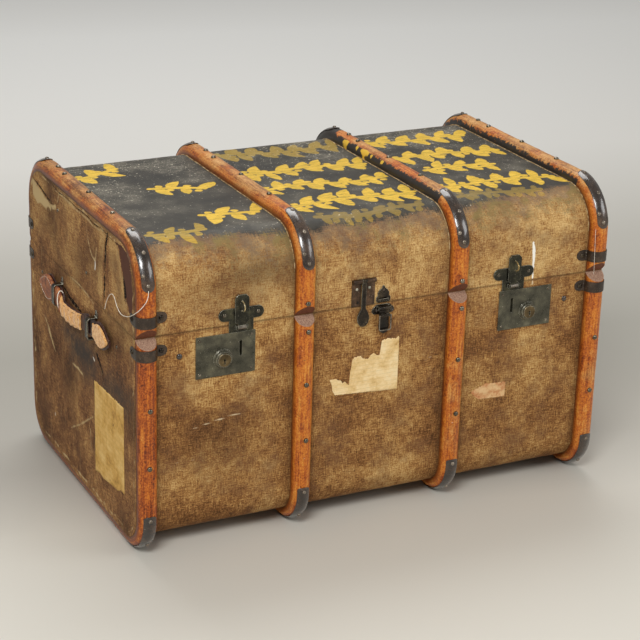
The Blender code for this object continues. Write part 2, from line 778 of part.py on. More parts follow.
def add_hasp_base(side, x, pin_z, steel, lid_pivot):
    """The hasp's base on the lid: two ears, a tab below the seam with a window, and a pin across it."""
    ear_z = SEAM + HASP_EAR_RISE
    right_edge = [(HASP_TAB_HALF, SEAM - LOCK_DROP + GAP), (HASP_TAB_HALF, ear_z - HASP_EAR_RADIUS)]
    right_edge += arc((HASP_EAR_SPREAD, ear_z), HASP_EAR_RADIUS, -90, 90, 8)
    outline = mirrored(right_edge, x)
    base = add_plate(f"hasp_base_{side}", outline, front, GAP, GAP + HASP_SHEET, steel, lid_pivot)
    window = add_front_block(
        f"hasp_window_{side}",
        (x - HASP_WINDOW_HALF, x + HASP_WINDOW_HALF),
        (-CUT_PAST, CUT_PAST),
        (pin_z - HASP_WINDOW_HEIGHT / 2, pin_z + HASP_WINDOW_HEIGHT / 2),
        steel,
    )
    combine(base, window, "DIFFERENCE")
    lug_half = HASP_PIN_RADIUS + HASP_LUG_WALL
    for index, way in enumerate((-1, 1)):
        inner_x = x + way * HASP_WINDOW_HALF
        lug = add_front_block(
            f"hasp_lug_{side}_{index}",
            (inner_x, inner_x + way * HASP_LUG_WIDTH),
            (GAP + HASP_SHEET / 5, HASP_PIN_OUT + lug_half),
            (pin_z - lug_half, pin_z + lug_half),
            steel,
        )
        combine(base, lug, "UNION")
    centre = front(x, HASP_PIN_OUT, pin_z)
    pin = add_bar(f"hasp_pin_{side}", centre, HASP_WINDOW_HALF + HASP_LUG_WIDTH / 2, HASP_PIN_RADIUS, steel)
    combine(base, pin, "UNION")


def staple_rings(x, staple_z, foot_out):
    """Rings along the half round staple that stands out from the flap's face."""
    rings = []
    for across, up in arc((0, 0), 1.0, 0, 180, STAPLE_STEPS):
        centre = front(x, foot_out + (STAPLE_RADIUS + STAPLE_LEG) * up, staple_z - STAPLE_RADIUS * across)
        radial = Vector((0, -up, -across))
        ring = []
        for side, along in arc((0, 0), STAPLE_WIRE, 0, 360 - 360 / WIRE_SIDES, WIRE_SIDES - 1):
            ring.append(centre + Vector((side, 0, 0)) + radial * along)
        rings.append(ring)
    return rings


def add_hasp(side, sign, steel, lid_pivot):
    """A hasp: its base on the lid, and a flap with a staple that swings on the base's pin."""
    x = sign * HASP_X
    pin_z = SEAM - HASP_PIN_DROP
    add_hasp_base(side, x, pin_z, steel, lid_pivot)

    centre = front(x, HASP_PIN_OUT, pin_z)
    pivot = add_pivot(f"hasp_pivot_{side}", centre, lid_pivot)
    low = HASP_PIN_OUT - FLAP_SHEET / 2
    high = HASP_PIN_OUT + FLAP_SHEET / 2
    shoulder = pin_z + HASP_WINDOW_HEIGHT / 2 + FLAP_SHOULDER / 3
    top = pin_z + FLAP_LENGTH
    half = FLAP_WIDTH / 2
    neck = HASP_WINDOW_HALF - FLAP_SIDE_PLAY
    sleeve_radius = HASP_PIN_RADIUS + RUNNING_GAP + SLEEVE_WALL
    foot = pin_z + sleeve_radius
    right_edge = [(neck, foot), (neck, shoulder), (half, shoulder + FLAP_SHOULDER)]
    right_edge += arc((half - FLAP_CORNER, top - FLAP_CORNER * 1.4), FLAP_CORNER, 0, 60, 4)
    right_edge.append((FLAP_LIP_WIDTH / 2, top))
    flap = add_plate(f"hasp_flap_{side}", mirrored(right_edge, x), front, low, high, steel, pivot)

    sleeve = add_bar(f"hasp_sleeve_{side}", centre, neck, sleeve_radius, steel)
    web_z = (pin_z, foot + FLAP_SHOULDER)
    web = add_front_block(f"hasp_web_{side}", (x - neck, x + neck), (low, high), web_z, steel)
    bore = add_bar(f"hasp_bore_{side}", centre, neck + CUT_PAST, HASP_PIN_RADIUS + RUNNING_GAP, steel)
    combine(flap, sleeve, "UNION")
    combine(flap, web, "UNION")
    combine(flap, bore, "DIFFERENCE")

    lip = add_front_block(
        f"hasp_lip_{side}",
        (x - FLAP_LIP_WIDTH / 2, x + FLAP_LIP_WIDTH / 2),
        (FLAP_LIP_CLEAR, high - FLAP_SHEET / 9),
        (top - GAP - FLAP_LIP_SHEET, top - GAP),
        steel,
    )
    combine(flap, lip, "UNION")
    rings = staple_rings(x, pin_z + STAPLE_REACH, HASP_PIN_OUT)
    staple = add_loft(f"hasp_staple_{side}", rings, steel)
    combine(flap, staple, "UNION")


# Tongue and clasp


def add_tongue_bracket(pin_z, iron, lid_pivot):
    """Two plates on the lid, whose tops roll round a pin, with a gap between them."""
    line = rolled_line(TONGUE_PIN_OUT, pin_z, TONGUE_PLATE_SHEET, pin_z - SEAM - GAP / 2, -1, TONGUE_ROLL)
    widths = [TONGUE_PLATE_WIDTH / 2] * len(line)
    bore = TONGUE_PIN_RADIUS + RUNNING_GAP
    half = TONGUE_PLATE_WIDTH / 2 - TONGUE_PIN_INSET
    bracket = None
    for index, way in enumerate((-1, 1)):
        middle = TONGUE_X + way * (TONGUE_GAP + TONGUE_PLATE_WIDTH) / 2
        place = strip_at(front, middle)
        if bracket:
            plate = add_ribbon("tongue_plate", line, TONGUE_PLATE_SHEET, widths, place, iron)
            combine(bracket, plate, "UNION")
        else:
            bracket = add_ribbon("tongue_bracket", line, TONGUE_PLATE_SHEET, widths, place, iron, lid_pivot)
        plug = add_bar(f"tongue_plug_{index}", front(middle, TONGUE_PIN_OUT, pin_z), half, bore + GAP, iron)
        combine(bracket, plug, "UNION")
    half = TONGUE_GAP / 2 + TONGUE_PLATE_WIDTH - TONGUE_PIN_INSET / 2
    pin = add_bar("tongue_pin", front(TONGUE_X, TONGUE_PIN_OUT, pin_z), half, TONGUE_PIN_RADIUS, iron)
    combine(bracket, pin, "UNION")


def add_tongue(iron, dark_iron, lid_pivot):
    """The tongue that hangs from its bracket's pin: a narrow shaft and a wide leaf below the seam."""
    pin_z = SEAM + TONGUE_PIN_RISE
    add_tongue_bracket(pin_z, iron, lid_pivot)

    centre = front(TONGUE_X, TONGUE_PIN_OUT, pin_z)
    pivot = add_pivot("tongue_pivot", centre, lid_pivot)
    shaft = TONGUE_SHAFT_WIDTH / 2
    leaf = TONGUE_LEAF_WIDTH / 2
    leaf_top = SEAM - TONGUE_LEAF_DROP
    leaf_end = SEAM - TONGUE_END_DROP
    widest_z = leaf_end + (leaf_top - leaf_end) * 0.45
    right_edge = [(shaft, pin_z), (shaft, leaf_top + TONGUE_NECK)]
    for index in range(TONGUE_LEAF_STEPS + 1):
        share = index / TONGUE_LEAF_STEPS
        width = shaft + (leaf - shaft) * math.sin(share * math.pi / 2)
        right_edge.append((width, leaf_top + (widest_z - leaf_top) * share))
    for share, up in ((0.86, 0.22), (0.52, 0.06), (0.0, 0.0)):
        right_edge.append((leaf * share, leaf_end + (leaf_top - leaf_end) * up))
    low = TONGUE_PIN_OUT - TONGUE_SHEET / 2
    high = TONGUE_PIN_OUT + TONGUE_SHEET / 2
    outline = mirrored(right_edge, TONGUE_X)
    tongue = add_plate("hanging_tongue", outline, front, low, high, dark_iron, pivot)
    hole_radius = TONGUE_PIN_RADIUS + RUNNING_GAP
    eye = add_bar("tongue_eye", centre, shaft, hole_radius + TONGUE_PLATE_SHEET, dark_iron)
    hole = add_bar("tongue_hole", centre, shaft + CUT_PAST, hole_radius, dark_iron)
    combine(tongue, eye, "UNION")
    combine(tongue, hole, "DIFFERENCE")


def add_catch(iron, lid_pivot):
    """The pointed catch on the lid, with a hooked lip that the bail goes over."""
    half = CATCH_WIDTH / 2
    right_edge = [
        (half * 0.80, CATCH_FOOT),
        (half, CATCH_FOOT + (CATCH_WAIST - CATCH_FOOT) * 0.3),
        (half, CATCH_WAIST * 0.9),
        (half * 0.78, CATCH_WAIST + CATCH_FOOT),
        (half * 0.80, CATCH_SHOULDER * 0.82),
        (half * 0.55, CATCH_SHOULDER + CATCH_FOOT),
        (half * 0.26, CATCH_SHOULDER + (CATCH_POINT - CATCH_SHOULDER) * 0.4),
        (half * 0.20, CATCH_SHOULDER + (CATCH_POINT - CATCH_SHOULDER) * 0.7),
        (0.0, CATCH_POINT),
    ]
    outline = mirrored([(across, SEAM + z) for across, z in right_edge], CLASP_X)
    catch = add_plate("clasp_catch", outline, front, GAP, GAP + CLASP_SHEET, iron, lid_pivot)
    lip_x = (CLASP_X - CATCH_LIP_WIDTH / 2, CLASP_X + CATCH_LIP_WIDTH / 2)
    lip_top = SEAM + CATCH_LIP_RISE
    lip_z = (lip_top - CATCH_LIP_SHEET, lip_top)
    hook_z = (lip_top - CATCH_LIP_SHEET, lip_top + CATCH_HOOK_RISE)
    lip = add_front_block("catch_lip", lip_x, (GAP + CLASP_SHEET / 3, CATCH_LIP_OUT), lip_z, iron)
    hook_out = (CATCH_LIP_OUT - CATCH_LIP_SHEET, CATCH_LIP_OUT)
    hook = add_front_block("catch_hook", lip_x, hook_out, hook_z, iron)
    combine(catch, lip, "UNION")
    combine(catch, hook, "UNION")


def add_clasp_bracket(pin_z, iron):
    """The clasp's bracket on the body: a plate with two ears, and two lugs that hold the lever's pin."""
    ear_z = SEAM - BRACKET_EAR_DROP
    right_edge = arc((BRACKET_EAR_SPREAD, ear_z), BRACKET_EAR_RADIUS, -90, 60, 7)
    right_edge.append((BRACKET_TOP_HALF, SEAM - BRACKET_TOP_DROP))
    outline = mirrored(right_edge, CLASP_X)
    bracket = add_plate("clasp_bracket", outline, front, GAP, GAP + CLASP_SHEET, iron)
    lug_half = LEVER_PIN_RADIUS + BRACKET_LUG_WALL
    lug_inner = LEVER_WIDTH / 2 + RUNNING_GAP
    for index, way in enumerate((-1, 1)):
        lug = add_front_block(
            f"clasp_lug_{index}",
            (CLASP_X + way * lug_inner, CLASP_X + way * (lug_inner + BRACKET_LUG_WIDTH)),
            (GAP + CLASP_SHEET / 3, LEVER_PIN_OUT + lug_half),
            (pin_z - lug_half, pin_z + lug_half),
            iron,
        )
        combine(bracket, lug, "UNION")
    half = lug_inner + BRACKET_LUG_WIDTH / 2
    pin = add_bar("lever_pin", front(CLASP_X, LEVER_PIN_OUT, pin_z), half, LEVER_PIN_RADIUS, iron)
    combine(bracket, pin, "UNION")


def add_lever(pin_z, bail_centre, iron, pivot):
    """The clasp's lever: a leaf with a rounded end, an eye on its pin and a barrel for the bail."""
    half = LEVER_WIDTH / 2
    end_z = SEAM - LEVER_END_DROP
    right_edge = [
        (half, pin_z),
        (half, end_z + half * 2.17),
        (half * 1.10, end_z + half * 1.49),
        (half * 1.02, end_z + half * 0.80),
        (half * 0.62, end_z + half * 0.23),
        (0.0, end_z),
    ]
    low = LEVER_PIN_OUT - LEVER_SHEET / 2
    high = LEVER_PIN_OUT + LEVER_SHEET / 2
    lever = add_plate("clasp_lever", mirrored(right_edge, CLASP_X), front, low, high, iron, pivot)
    centre = front(CLASP_X, LEVER_PIN_OUT, pin_z)
    eye_hole = LEVER_PIN_RADIUS + RUNNING_GAP
    eye = add_bar("lever_eye", centre, half, eye_hole + LEVER_EYE_WALL, iron)
    hole = add_bar("lever_hole", centre, half + CUT_PAST, eye_hole, iron)
    barrel_half = half - RUNNING_GAP
    bail_z = bail_centre.z
    rib = add_front_block(
        "lever_rib",
        (CLASP_X - barrel_half, CLASP_X + barrel_half),
        (high - LEVER_SHEET / 3, BAIL_OUT),
        (bail_z - BAIL_BARREL_RADIUS, bail_z + BAIL_BARREL_RADIUS),
        iron,
    )
    barrel = add_bar("lever_barrel", bail_centre, barrel_half, BAIL_BARREL_RADIUS, iron)
    barrel_hole = add_bar("lever_barrel_hole", bail_centre, half + CUT_PAST, BAIL_WIRE + RUNNING_GAP, iron)
    combine(lever, eye, "UNION")
    combine(lever, rib, "UNION")
    combine(lever, barrel, "UNION")
    combine(lever, barrel_hole, "DIFFERENCE")
    combine(lever, hole, "DIFFERENCE")


def wire_ring(route, index, centre):
    """The ring of points round a wire that lies flat on the front, square to its route."""
    before = Vector(route[max(index - 1, 0)])
    after = Vector(route[min(index + 1, len(route) - 1)])
    along = (after - before).normalized()
    across = Vector((-along.y, 0, along.x))
    here = centre + Vector((route[index][0], 0, route[index][1]))
    ring = []
    for side, out in arc((0, 0), BAIL_WIRE, 0, 360 - 360 / WIRE_SIDES, WIRE_SIDES - 1):
        ring.append(here + across * side + Vector((0, -out, 0)))
    return ring


def add_bail(centre, iron, pivot):
    """The wire bail: a long U with its ends on an axle that runs through the lever's barrel."""
    side = BAIL_WIDTH / 2 - BAIL_WIRE
    reach = BAIL_REACH - BAIL_WIRE
    route = [(-side, 0.0)]
    route += arc((-side + BAIL_BEND, -reach + BAIL_BEND), BAIL_BEND, 180, 270, 3)
    route += arc((side - BAIL_BEND, -reach + BAIL_BEND), BAIL_BEND, 270, 360, 3)
    route.append((side, 0.0))
    rings = [wire_ring(route, index, centre) for index in range(len(route))]
    bail = add_loft("clasp_bail", rings, iron, pivot)
    axle = add_bar("bail_axle", centre, side + BAIL_WIRE * 0.7, BAIL_WIRE, iron)
    combine(bail, axle, "UNION")


def add_clasp(iron, wire_iron, lid_pivot):
    """A draw clasp: the catch on the lid, and on the body a bracket, its lever and the lever's wire bail."""
    pin_z = SEAM - LEVER_PIN_DROP
    add_catch(iron, lid_pivot)
    add_clasp_bracket(pin_z, iron)
    lever_pivot = add_pivot("clasp_lever_pivot", front(CLASP_X, LEVER_PIN_OUT, pin_z))
    bail_centre = front(CLASP_X, BAIL_OUT, SEAM - BAIL_PIN_DROP)
    add_lever(pin_z, bail_centre, iron, lever_pivot)
    bail_pivot = add_pivot("clasp_bail_pivot", bail_centre, lever_pivot)
    add_bail(bail_centre, wire_iron, bail_pivot)


# Handles


def add_handle_loop(name, wall, y, iron):
    """A flat iron loop riveted to the end board above and below the leather, which slides through it."""
    centre_z = SEAM - HANDLE_DROP
    inside = GRIP_NECK_HEIGHT / 2 + LOOP_PLAY
    foot = inside + LOOP_FOOT
    half = LOOP_WIDTH / 2
    upper = [(foot, GAP), (foot - LOOP_FOOT_TIP, GAP), (inside + LOOP_SHEET, GAP), (inside, GAP + LOOP_SHEET)]
    upper += arc((inside - LOOP_SHOULDER, LOOP_INSIDE_OUT - LOOP_SHOULDER), LOOP_SHOULDER, 0, 90, 3)
    line = [(-up, out) for up, out in upper] + [(up, out) for up, out in reversed(upper)]
    widths = [half * 0.18, half * 0.72] + [half] * (len(line) - 4) + [half * 0.72, half * 0.18]

    def place(point, width):
        return wall(y + width, point[1], centre_z + point[0])

    return add_ribbon(name, line, LOOP_SHEET, widths, place, iron)


def grip_stations():
    """The places along the handle where its section is set, closer together on the tabs."""
    half = GRIP_LENGTH / 2
    steps = [half + (NECK_END - half) * index / GRIP_TAB_STEPS for index in range(GRIP_TAB_STEPS + 1)]
    steps += [NECK_START * (1 - index / GRIP_MIDDLE_STEPS) for index in range(GRIP_MIDDLE_STEPS + 1)]
    return [-y for y in steps] + list(reversed(steps[:-1]))


def grip_height(y):
    """The strap's height: oval tabs at the ends, a narrower neck through the loops, a fuller middle."""
    reach = abs(y)
    if reach > NECK_END:
        share = (reach - NECK_END) / (GRIP_LENGTH / 2 - NECK_END)
        oval = GRIP_TAB_HEIGHT * math.sin(math.pi * (0.16 + 0.80 * share))
        return max(GRIP_NECK_HEIGHT * (1 - share) + GRIP_TAB_TIP * share, oval)
    if reach > NECK_START:
        return GRIP_NECK_HEIGHT
    return GRIP_NECK_HEIGHT + GRIP_SWELL * math.cos(reach / NECK_START * math.pi / 2) ** 2


def grip_thickness(y, torn):
    """The torn handle has lost its outer ply between the loops and, more of it, at its front tab."""
    if not torn or y > NECK_START - LOOP_WIDTH:
        return GRIP_THICKNESS
    thickness = TORN_TAB_THICKNESS if y < LOOP_WIDTH - NECK_START else TORN_MIDDLE_THICKNESS
    return thickness + TORN_ROUGHNESS * (math.sin(y * 260) + 0.6 * math.sin(y * 610))


def add_grip(name, wall, torn, leather):
    """The stitched leather handle, a flat strap along Y with rounded edges."""
    centre_z = SEAM - HANDLE_DROP
    rings = []
    for y in grip_stations():
        thickness = grip_thickness(y, torn)
        half_height = grip_height(y) / 2
        corner = min(GRIP_CORNER, thickness * 0.45)
        ring = []
        for out_end, up_end, start in ((1, 1, 0), (0, 1, 90), (0, -1, 180), (1, -1, 270)):
            out = GRIP_STANDOFF + (thickness - corner if out_end else corner)
            up = up_end * (half_height - corner)
            for edge_out, edge_up in arc((out, up), corner, start, start + 90, GRIP_CORNER_STEPS):
                ring.append(wall(y, edge_out, centre_z + edge_up))
        rings.append(ring)
    return add_loft(name, rings, leather)


def main():
    for old in list(bpy.data.objects):
        bpy.data.objects.remove(old, do_unlink=True)

    canvas = make_material("canvas_covered_board", (0.36, 0.21, 0.10), 0.85, 0)
    wood = make_material("varnished_bentwood", (0.42, 0.14, 0.04), 0.35, 0)
    pale_wood = make_material("plain_wood", (0.50, 0.33, 0.18), 0.7, 0)
    cap_iron = make_material("japanned_iron", (0.03, 0.025, 0.02), 0.3, 0.6)
    lock_steel = make_material("blackened_steel", (0.06, 0.06, 0.045), 0.45, 0.7)
    drum_steel = make_material("worn_lock_face", (0.14, 0.11, 0.07), 0.4, 0.8)
    rusty_iron = make_material("rusty_iron", (0.09, 0.05, 0.035), 0.6, 0.5)
    leather = make_material("handle_leather", (0.15, 0.05, 0.035), 0.5, 0)

    lid_pivot = add_pivot("lid_pivot", HINGE_AXIS)
    body_shell = add_shell("body", canvas)
    add_shell("lid", canvas, lid_pivot)
    for part, pivot in (("body", None), ("lid", lid_pivot)):
        for side, direction in (("left", -1), ("right", 1)):
            add_end_board(part, side, direction, canvas, pivot)
            add_strap(part, "front", front, side, direction, cap_iron, pivot)
            add_strap(part, "back", back, side, direction, cap_iron, pivot)
        for place_name, x in SLAT_PLACES.items():
            add_slat(part, place_name, x, wood, pivot)
            add_cap(part, "front", -1, place_name, x, cap_iron, pivot)
            if part == "lid":
                add_cap(part, "back", 1, place_name, x, cap_iron, pivot)
    add_dust_lip(pale_wood)

    for side, sign in (("left", -1), ("right", 1)):
        add_hinge(side, sign * BAY_X, cap_iron, lid_pivot)
        add_lock(side, sign, lock_steel, drum_steel, body_shell)
        add_hasp(side, sign, lock_steel, lid_pivot)
    add_tongue(rusty_iron, cap_iron, lid_pivot)
    add_clasp(cap_iron, lock_steel, lid_pivot)

    for end_name, wall in (("left", left_end), ("right", right_end)):
        add_handle_loop(f"handle_loop_{end_name}_front", wall, -LOOP_Y, lock_steel)
        add_handle_loop(f"handle_loop_{end_name}_back", wall, LOOP_Y, lock_steel)
        add_grip(f"handle_grip_{end_name}", wall, end_name == "left", leather)


main()
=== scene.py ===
# %% [markdown]
# # A canvas-covered travel trunk
#
# The trunk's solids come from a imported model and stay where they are. This lesson dresses them: painted
# canvas, varnished bentwood, black iron, worn locks and torn leather. A new piece is a surface worked out
# with numpy, in metres and in the same frame as the solids: X runs along the trunk, Y from the front to the
# back, and Z up.

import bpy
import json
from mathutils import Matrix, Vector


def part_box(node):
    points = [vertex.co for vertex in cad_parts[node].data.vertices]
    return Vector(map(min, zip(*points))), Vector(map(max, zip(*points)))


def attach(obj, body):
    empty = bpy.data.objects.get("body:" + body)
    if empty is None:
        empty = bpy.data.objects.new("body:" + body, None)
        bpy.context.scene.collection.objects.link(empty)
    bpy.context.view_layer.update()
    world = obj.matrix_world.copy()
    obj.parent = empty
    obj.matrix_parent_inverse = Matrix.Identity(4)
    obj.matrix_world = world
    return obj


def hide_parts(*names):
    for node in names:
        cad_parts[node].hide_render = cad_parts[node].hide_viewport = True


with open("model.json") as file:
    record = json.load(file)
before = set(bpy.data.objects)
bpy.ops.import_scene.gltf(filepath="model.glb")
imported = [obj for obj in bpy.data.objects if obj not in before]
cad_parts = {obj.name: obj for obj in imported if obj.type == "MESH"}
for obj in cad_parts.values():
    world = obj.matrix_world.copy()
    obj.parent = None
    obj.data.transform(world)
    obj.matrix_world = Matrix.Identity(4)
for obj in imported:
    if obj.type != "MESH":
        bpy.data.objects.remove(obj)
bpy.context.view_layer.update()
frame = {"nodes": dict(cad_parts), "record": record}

# %% [markdown]
# ## Where the trunk's faces are
#
# A canvas, a nail or a label has to lie exactly on the board that carries it. The sizes could be typed in
# again, but reading them from the solids' boxes keeps the two in step. Only the roundings of the corners
# can't be read from a box.

# %% Measure the solids
import json
import math
from functools import partial

import bmesh
import bpy
import numpy as np
from mathutils import Matrix

MM = 0.001
lid_low, lid_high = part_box("lid_shell")
body_low, body_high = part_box("body_shell")
HALF_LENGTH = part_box("lid_end_right")[1].x
HALF_DEPTH = lid_high.y
SEAM = (lid_low.z + body_high.z) / 2
SEAM_HALF_GAP = (lid_low.z - body_high.z) / 2
FLAT_Z = {"lid": lid_high.z, "body": body_low.z}
TURN = {"lid": 1, "body": -1}
ROUNDING = {"lid": 0.068, "body": 0.050}
GAP = 0.0003

PLACES = ("left_end", "left", "right", "right_end")
PARTS = ("lid", "body")
slat_boxes = {place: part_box(f"lid_slat_{place}") for place in PLACES}
SLAT_X = {place: (low.x + high.x) / 2 for place, (low, high) in slat_boxes.items()}
SLAT_HALF = (slat_boxes["left"][1].x - slat_boxes["left"][0].x) / 2
SLAT_HEIGHT = slat_boxes["left"][1].z - lid_high.z
SLAT_SIDE = 0.005
BODY_OF = {node: body for body, nodes in frame["record"]["behaviour"]["bodies"].items() for node in nodes}
print(f"Half length {HALF_LENGTH:.4f}, half depth {HALF_DEPTH:.4f}, seam at {SEAM:.4f}, slats at {SLAT_X}")

# %% [markdown]
# ## One line round the box
#
# The lid is one board bent over the front, the top and the back, and the body is the same under the bottom.
# So one number, the distance along the board from the front seam, gives every place on it. That is a
# straight wall, a quarter circle, a flat, a quarter circle and a wall again, and anything that stands out
# from it moves square to that line.


# %% The line round the lid or the body
def board_lengths(part):
    """The lengths of a wall, of a rounded corner and of the flat."""
    radius = ROUNDING[part]
    wall = abs(FLAT_Z[part] - SEAM) - SEAM_HALF_GAP - radius
    return wall, radius * math.pi / 2, 2 * (HALF_DEPTH - radius)


def around(part, along, out=0.0):
    """The (y, z) of a point `along` the board and `out` from it.

    Each rounded corner turns the line by the angle (along - its start) / radius, held between 0 and a quarter
    turn. The point is the wall's length, plus radius times the sine and one minus the cosine of those angles,
    plus the flat.
    """
    radius = ROUNDING[part]
    wall, quarter, flat = board_lengths(part)
    first = np.clip((along - wall) / radius, 0, math.pi / 2)
    second = np.clip((along - wall - quarter - flat) / radius, 0, math.pi / 2)
    level = np.clip(along - wall - quarter, 0, flat)
    y = -HALF_DEPTH + radius * (1 - np.cos(first)) + level + radius * np.sin(second)
    fall = np.maximum(along - wall - 2 * quarter - flat, 0)
    rise = np.minimum(along, wall) + radius * np.sin(first) - radius * (1 - np.cos(second)) - fall
    turn = first + second
    height = SEAM_HALF_GAP + rise + out * np.sin(turn)
    return y - out * np.cos(turn), SEAM + TURN[part] * height


def on_board(part, x, along, out=0.0):
    """Points in space from arrays of x, of distances along the board and of distances out."""
    y, z = around(part, along, out)
    x, y, z = np.broadcast_arrays(x, y, z)
    return np.stack([x, y, z], -1)


def on_end(side, y, z, out=0.0):
    """Points on the left end board (side -1) or the right one (side 1)."""
    x, y, z = np.broadcast_arrays(side * (HALF_LENGTH + out), y, z)
    return np.stack([x, y, z], -1)


def ripple(points, size, seed, waves=14):
    """Smooth unevenness of one size, between about -1 and 1: a sum of sine waves in random directions."""
    random = np.random.default_rng(seed)
    directions = random.normal(size=(3, waves))
    directions /= np.linalg.norm(directions, axis=0) * size * random.uniform(0.6, 1.7, waves)
    phases = random.uniform(0, math.tau, waves)
    return np.sin(points @ directions * math.tau + phases).sum(-1) / math.sqrt(waves)


LID_WALL, LID_CORNER, LID_FLAT = board_lengths("lid")
TOTAL = {part: 2 * wall + 2 * corner + flat for part in PARTS for wall, corner, flat in [board_lengths(part)]}
print(f"Round the lid: wall {LID_WALL:.4f}, corner {LID_CORNER:.4f}, flat {LID_FLAT:.4f}")

# %% [markdown]
# ## From a grid of points to a mesh
#
# Nearly every piece here is a grid: rows along it and columns across it. A ring is a grid whose last column
# joins its first. The map that a pattern follows, in metres, is written for each corner of each face, so
# that it can run on round a closed ring. Values such as how far a point is from a tear are kept on the
# points, for the materials.


# %% Make pieces from grids
def grid_faces(rows, columns, ring=False):
    """The four corners of each cell of a grid of points."""
    row, column = np.meshgrid(np.arange(rows - 1), np.arange(columns - (not ring)), indexing="ij")
    onward = (column + 1) % columns
    here, above = row * columns, (row + 1) * columns
    return np.stack([here + column, here + onward, above + onward, above + column], -1).reshape(-1, 4)


def grid_map(across, along):
    """The map's value at the four corners of each cell, from its value at each column and each row."""
    u = np.stack([across[:-1], across[1:], across[1:], across[:-1]], -1)
    v = np.stack([along[:-1], along[:-1], along[1:], along[1:]], -1)
    u, v = np.broadcast_arrays(u[None], v[:, None])
    return np.stack([u, v], -1).reshape(-1, 4, 2)


def new_object(name, data):
    """An object of a mesh, a curve, a lamp or a camera, put into the scene."""
    thing = bpy.data.objects.new(name, data)
    bpy.context.scene.collection.objects.link(thing)
    return thing


def add_piece(name, points, faces, body, materials, corner_map=None, marks=None, inside=None):
    """A mesh object that rides on a body. If it looks towards a given inside point, it is turned over."""
    points = np.asarray(points, float).reshape(-1, 3)
    faces = [list(map(int, face)) for face in faces]
    mesh = bpy.data.meshes.new(name)
    mesh.from_pydata(points.tolist(), [], faces)
    for mark, values in (marks or {}).items():
        attribute = mesh.attributes.new(mark, "FLOAT", "POINT")
        attribute.data.foreach_set("value", np.asarray(values, np.float32).ravel())
    if corner_map is not None:
        layer = mesh.uv_layers.new(name="pattern")
        layer.data.foreach_set("uv", np.asarray(corner_map, np.float32).ravel())
    if inside is not None:
        centres = np.array([face.center for face in mesh.polygons]) - np.asarray(inside)
        normals = np.array([face.normal for face in mesh.polygons])
        if (centres * normals).sum() < 0:
            mesh.flip_normals()
    else:
        shape = bmesh.new()
        shape.from_mesh(mesh)
        bmesh.ops.recalc_face_normals(shape, faces=shape.faces)
        shape.to_mesh(mesh)
        shape.free()
    for material in materials if isinstance(materials, (list, tuple)) else [materials]:
        mesh.materials.append(material)
    mesh.shade_smooth()
    piece = new_object(name, mesh)
    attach(piece, body)
    return piece


def add_grid(name, points, body, slot, materials, across, along, solid=False, marks=None, inside=None):
    """A piece from a grid of points. A solid one is a ring all along, closed with a face at either end."""
    rows, columns = points.shape[:2]
    faces = grid_faces(rows, columns, ring=solid).tolist()
    corner_map = grid_map(np.asarray(across), np.asarray(along)).reshape(-1, 2)
    if solid:
        last = (rows - 1) * columns
        faces += [list(range(columns)), list(range(last + columns - 1, last - 1, -1))]
        corner_map = np.concatenate([corner_map, np.zeros((2 * columns, 2))])
    return add_piece(name, points, faces, body, materials, corner_map, marks, inside)


def round_edges(piece, width, least):
    """A narrow bevel on each edge that is sharper than the least angle, in degrees."""
    bevel = piece.modifiers.new("edge", "BEVEL")
    bevel.width = width
    bevel.segments = 2
    bevel.limit_method = "ANGLE"
    bevel.angle_limit = math.radians(least)
    return bevel


def give_thickness(piece, thickness):
    """Turns a sheet into metal of a real thickness, inwards, and rounds its cut edges."""
    solidify = piece.modifiers.new("thickness", "SOLIDIFY")
    solidify.thickness = thickness
    solidify.offset = -1
    round_edges(piece, 0.3 * MM, 50)


MIDDLE = (0.0, 0.0, SEAM)
print("A grid of 3 by 4 points has", len(grid_faces(3, 4)), "faces")

# %% [markdown]
# ## Materials from real finishes
#
# A material starts from what the real surface is and how it was made. Colours are written as sRGB codes, as
# a painter would pick them, and one function turns them to linear light. One more adds a node. Two ideas
# come back in every finish, so they have a function each: a weighted sum of patterns, and a colour laid
# over another where a value says.


# %% Colours and nodes
def colour(code):
    """An sRGB code as linear red, green, blue and alpha."""
    srgb = np.array([int(code[start : start + 2], 16) for start in (1, 3, 5)]) / 255
    linear = np.where(srgb <= 0.04045, srgb / 12.92, ((srgb + 0.055) / 1.055) ** 2.4)
    return (*linear.tolist(), 1.0)


SHADER = "Principled BSDF"
# How most nodes of a kind are set here, and which of their outputs is wanted
USUAL = {
    "Math": {"operation": "MULTIPLY_ADD"},
    "Mix": {"data_type": "RGBA"},
    "Attribute": {"output": "Fac"},
    "TexCoord": {"output": "Object"},
    "UVMap": {"uv_map": "pattern"},
}


def add_node(tree, kind, *values, stops=(), **given):
    """Adds a node, or dresses the shader that is there, and returns an output: the first, or the one named.

    Values fill the inputs in their order, or by name, which starts with a capital letter. Names in small
    letters are settings. A code stands for its colour. Stops are the places and the codes of a colour ramp.
    """
    node = tree.nodes[kind] if kind == SHADER else tree.nodes.new("ShaderNode" + kind)
    given = {**USUAL.get(kind, {}), **given}
    wanted = given.pop("output", None)
    named = {key: given.pop(key) for key in list(given) if key[0].isupper()}
    for setting, value in given.items():
        setattr(node, setting, value)
    for element in range(2, len(stops)):
        node.color_ramp.elements.new(0.5)
    for (place, code), element in zip(stops, node.color_ramp.elements if stops else ()):
        element.position = place
        element.color = colour(code)
    sockets = [socket for socket in node.inputs if socket.enabled]
    by_name = {socket.name.replace(" ", "_"): socket for socket in sockets}
    for socket, value in [*zip(sockets, values), *((by_name[key], value) for key, value in named.items())]:
        if isinstance(value, bpy.types.NodeSocket):
            tree.links.new(value, socket)
        else:
            socket.default_value = colour(value) if isinstance(value, str) else value
    return next(socket for socket in node.outputs if socket.enabled and wanted in (None, socket.name))


